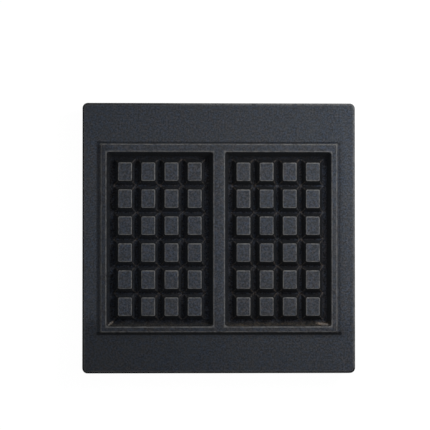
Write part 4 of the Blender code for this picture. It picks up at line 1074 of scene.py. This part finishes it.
def thermostat():
    """Bracket, bimetal strip, two contact springs and their ceramic spacers on one rivet."""
    stack = (0.0, STACK_Y, 0.0)
    axis = (0.0, SPINDLE_Y, 0.0)
    arm_z = 4.55 * MM
    foot_z = 14.45 * MM
    step_y = FOOT_Y + 5.5 * MM
    corners = ((STACK_Y + 7.0 * MM, arm_z), (step_y, arm_z), (step_y, foot_z), (FOOT_Y - 5.5 * MM, foot_z))
    holes = [stack_hole(3.8 * MM, 5.3 * MM), cylinder(3.3 * MM, 2.8 * MM, 6.3 * MM, (0.0, SPINDLE_Y), 32)]
    holes.append(cylinder(SMALL_BORE, 12.7 * MM, 16.2 * MM, (0.0, FOOT_Y), 24))
    bracket = strip(bent(corners, 1.6 * MM), STRIP_HALF, 1.5 * MM)
    fitting("thermostat_frame", bracket, holes=holes, soft=SOFT)
    low, high = 14.7 * MM, 15.5 * MM
    bimetal = blade(STRIP_HALF, 18.5 * MM, 1.5 * MM, low, high, 0.0, 6.5 * MM)
    fitting("thermostat_bimetal", bimetal, holes=[stack_hole(low, high)], soft=0.15 * MM)
    for level, low, contact_end in (("upper", 11.4 * MM, 10.15 * MM), ("lower", 8.1 * MM, 9.85 * MM)):
        high = low + 0.5 * MM
        leaf = blade(3.5 * MM, 20.5 * MM, 1.0 * MM, low, high, 0.0, 12.5 * MM)
        start = low + 0.1 * MM if level == "upper" else high - 0.1 * MM
        dome = ((0.0, 2.0), (0.55, 2.0), (0.8, 1.7), (0.93, 1.1), (1.0, 0.4))
        levels = [(start + (contact_end - start) * far, radius * MM) for far, radius in dome]
        contact = moved(turned(levels, 32, unit=1.0), 0.0, 6.0 * MM)
        fitting(f"thermostat_leaf_{level}", leaf, joined=contact, holes=[stack_hole(low, high)], soft=0.1 * MM)
    for level, low in (("upper", 12.2 * MM), ("middle", 8.9 * MM), ("lower", 5.6 * MM)):
        disc = washer(5.0 * MM, STACK_BORE, low, low + 2.2 * MM)
        fitting(f"thermostat_insulator_{level}", disc, stack)
    rivet = [(2.6, 0.9), (2.7, 1.8), (3.0, 2.5), (3.5, 2.8), (3.5, 1.6), (15.8, 1.6), (15.8, 2.8)]
    rivet += [(16.3, 2.5), (16.6, 1.8), (16.7, 0.9)]
    fitting("thermostat_rivet", turned(rivet), stack)
    bead = [(12.2, 0.9), (12.4, 1.3), (12.8, 1.5), (13.8, 1.5), (14.2, 1.3), (14.4, 0.9)]
    fitting("thermostat_bead", turned(bead, 24), axis)
    nut = [(2.8, 2.3), (2.6, 2.5), (2.6, 3.9), (2.9, 4.2), (3.3, 4.2), (3.5, 4.0), (3.5, 3.0), (5.3, 3.0), (5.5, 2.8)]
    nut += [(5.5, 2.5), (5.3, 2.3)]
    fitting("thermostat_nut", turned(nut, hollow=True), axis)
    slotted_screw("thermostat_screw", 0.0, FOOT_Y, 13.7 * MM, 19.5 * MM)
    bm = bmesh.new()
    low = 1.0 * MM
    plain = circles(bm, [(low, 1.7 * MM), (1.3 * MM, SPINDLE_RADIUS), (2.4 * MM, SPINDLE_RADIUS)], 36)
    stem = skinned(bm, plain + thread_loops(bm, SPINDLE_RADIUS, SPINDLE_PITCH, 2.5 * MM, 7.8 * MM, 36))
    reach = SPINDLE_RADIUS + SINK
    slot = cuboid((-reach, -SLOT_HALF, low - SINK), (reach, SLOT_HALF, low + SLOT_DEPTH))
    fitting("thermostat_spindle", stem, axis, holes=[slot], body="spindle")


# Safety cut-out


def arc(centre_y, radius, start, end, steps=12):
    """X and Y places along an arc around a point on the Y axis."""
    turns = [start + (end - start) * step / steps for step in range(steps + 1)]
    return [(radius * cos(turn), centre_y + radius * sin(turn)) for turn in turns]


def cut_sheet(outline, low, high):
    """Flat sheet cut along an outline of X and Y places."""
    bm = bmesh.new()
    return skinned(bm, [[bm.verts.new((x, y, z)) for x, y in outline] for z in (low, high)])


def cutout():
    """Cap, strap, body with its blade contacts, and the reset button."""
    axis = (CUTOUT_X, 0.0, 0.0)
    cap = [(14.8, 7.8), (15.0, 8.0), (16.3, 8.0), (16.8, 7.8), (17.1, 7.4), (17.2, 6.8)]
    fitting("cutout_cap", turned(cap, 48), axis)
    low, high = 13.6 * MM, 14.5 * MM
    ring_radius = 8.0 * MM
    ear_radius = 4.5 * MM
    join = acos(ear_radius / ring_radius)
    outline = arc(0.0, ring_radius, -join, join) + arc(CUTOUT_SCREW_Y, ear_radius, 0.0, pi)
    outline += arc(0.0, ring_radius, pi - join, pi + join)
    outline += arc(-CUTOUT_SCREW_Y, ear_radius, pi, 2 * pi)
    holes = [cylinder(SMALL_BORE, low - SINK, high + SINK, (0.0, side * CUTOUT_SCREW_Y), 24) for side in (-1, 1)]
    fitting("cutout_strap", cut_sheet(outline, low, high), axis, holes=holes, soft=0.15 * MM)
    drum = [(13.3, 7.3), (13.0, 7.6), (10.9, 7.6), (10.6, 7.3), (10.2, 7.3), (9.9, 7.6), (7.8, 7.6), (7.3, 7.1)]
    drum += [(7.3, 3.9), (7.0, 3.6), (5.9, 3.6), (5.7, 3.4), (5.7, 2.5), (5.9, 2.3), (11.2, 2.3)]
    sides = ((-9.0 * MM, -4.3 * MM), (4.3 * MM, 9.0 * MM))
    slots = [cuboid((near, -2.7 * MM, 8.6 * MM), (far, 2.7 * MM, 10.0 * MM)) for near, far in sides]
    fitting("cutout_body", turned(drum, 56), axis, holes=slots)
    for ending, side in (("left", -1), ("right", 1)):
        outline = ((4.6, -2.4), (14.2, -2.4), (15.6, -1.5), (15.6, 1.5), (14.2, 2.4), (4.6, 2.4))
        tab = cut_sheet([(side * x * MM, y * MM) for x, y in outline], 8.9 * MM, 9.7 * MM)
        hole = cylinder(0.8 * MM, 8.0 * MM, 10.6 * MM, (side * 13.2 * MM, 0.0), 24)
        fitting(f"cutout_tab_{ending}", tab, axis, holes=[hole], soft=0.15 * MM)
    for ending, side in (("front", -1), ("rear", 1)):
        slotted_screw(f"cutout_screw_{ending}", CUTOUT_X, side * CUTOUT_SCREW_Y, low, 19.1 * MM)
    button = [(4.2, 1.2), (4.27, 1.6), (4.5, 1.88), (4.8, 2.0), (9.7, 2.0)]
    fitting("reset_button", turned(button), axis, body="button")


# Earth


def earth():
    """Stud, tab, washer and nut under the boss at the back."""
    axis = (0.0, EARTH_Y, 0.0)
    fitting("earth_stud", stud(EARTH_RADIUS, EARTH_PITCH, EARTH_SEAT_Z - 9.5 * MM, EARTH_SEAT_Z + 6.0 * MM, 32), axis)
    top = EARTH_SEAT_Z - GAP
    low = top - 1.0 * MM
    tab = blade(8.5 * MM, 4.5 * MM, 4.3 * MM, low, top, 4.0 * MM, 0.0)
    hole = cylinder(EARTH_BORE, low - SINK, top + SINK, sides=40)
    fitting("earth_tab", tab, axis, holes=[hole], soft=0.2 * MM)
    top = low - GAP
    low = top - 1.0 * MM
    fitting("earth_washer", washer(5.0 * MM, EARTH_BORE, low, top, 0.2 * MM), axis)
    top = low - GAP
    low = top - 4.0 * MM
    fitting("earth_nut", hexagon_nut(8.0 * MM, low, top, EARTH_BORE), axis, sharp=CRISP)


casting()
heater()
for ending, x in (("left", -1.5 * RUN_SPACING), ("right", 1.5 * RUN_SPACING)):
    terminal(ending, x)
for row, y in (("front", -BAR_Y), ("rear", BAR_Y)):
    clamp_bar(row, y)
    for column, x in (("left", -RUN_SPACING), ("centre", 0.0), ("right", RUN_SPACING)):
        clamp_screw(f"{row}_{column}", x, y)
thermostat()
cutout()
earth()


# Floor, background and light

WHITE = (1.0, 1.0, 1.0)
PALE = (0.85, 0.85, 0.85)
FLOOR_GLOW = 1.08
FLOOR_MATT = 0.1
FLOOR_HALF = 6.0
AMBIENT = 0.1


def seen_rays(tree):
    """1 for rays that come from the camera, straight or through gloss or glass."""
    path = make(tree, "ShaderNodeLightPath")
    kinds = ("Is Camera Ray", "Is Glossy Ray", "Is Transmission Ray")
    return most(*(Value(tree, path.outputs[kind]) for kind in kinds))


def mixed(factor, a, b):
    return output(a.tree, "ShaderNodeMixShader", ((0, factor), (1, a), (2, b)))


def floor():
    """A floor that looks white from above, with a soft shadow, and is clear from below."""
    bm = bmesh.new()
    bmesh.ops.create_grid(bm, x_segments=1, y_segments=1, size=FLOOR_HALF)
    made = link("floor", bm)
    material, tree, shader = new_material("floor")
    tree.nodes.remove(shader)
    glow = output(tree, "ShaderNodeEmission", (("Color", WHITE), ("Strength", FLOOR_GLOW)))
    matt = output(tree, "ShaderNodeBsdfDiffuse", (("Color", PALE),))
    lit = mixed(seen_rays(tree), matt, mixed(FLOOR_MATT, glow, matt))
    clear = output(tree, "ShaderNodeBsdfTransparent")
    behind = output(tree, "ShaderNodeNewGeometry", key="Backfacing")
    plug(tree.nodes["Material Output"].inputs["Surface"], mixed(behind, lit, clear))
    made.data.materials.append(material)


def world():
    """White where it is seen, and a faint light on everything."""
    made = bpy.data.worlds.new("studio")
    bpy.context.scene.world = made
    made.use_nodes = True
    tree = made.node_tree
    background = tree.nodes["Background"]
    plug(background.inputs["Color"], WHITE)
    strength = output(tree, "ShaderNodeMapRange", ((0, seen_rays(tree)), (3, AMBIENT), (4, 1.0)))
    plug(background.inputs["Strength"], strength)


def lamp(name, place, target, size, power):
    """A square lamp that shines from its place to its target."""
    light = bpy.data.lights.new(name, "AREA")
    light.size = size
    light.energy = power
    made = bpy.data.objects.new(name, light)
    bpy.context.scene.collection.objects.link(made)
    made.location = place
    made.rotation_euler = (Vector(target) - Vector(place)).to_track_quat("-Z", "Y").to_euler()


floor()
world()
lamp("key", (0.28, 0.17, 0.44), (0.1, 0.03, 0.03), 0.25, 2.7)
lamp("fill", (0.0, 0.0, 0.8), (0.0, 0.0, 0.03), 0.6, 1.6)

# Camera, nearly straight above, aimed at the point of the plate that the photograph's middle shows

CAMERA_DISTANCE = 2.2
FRAME_WIDTH = 0.4049
SENSOR_WIDTH = 36.0
AIM = Vector((-3.8 * MM, 21.7 * MM, MARGIN_Z))
TO_CAMERA = Vector((-0.038, -0.02, 1.0)).normalized()
camera = bpy.data.objects.new("camera", bpy.data.cameras.new("camera"))
bpy.context.scene.collection.objects.link(camera)
camera.location = AIM + CAMERA_DISTANCE * TO_CAMERA
across = Vector((0.0, 1.0, 0.0)).cross(TO_CAMERA).normalized()
camera.rotation_euler = Matrix((across, TO_CAMERA.cross(across), TO_CAMERA)).transposed().to_euler()
camera.data.sensor_width = SENSOR_WIDTH
camera.data.lens = SENSOR_WIDTH * CAMERA_DISTANCE / FRAME_WIDTH
camera.data.clip_end = 20.0
bpy.context.scene.camera = camera
bpy.context.scene.view_settings.view_transform = "Standard"
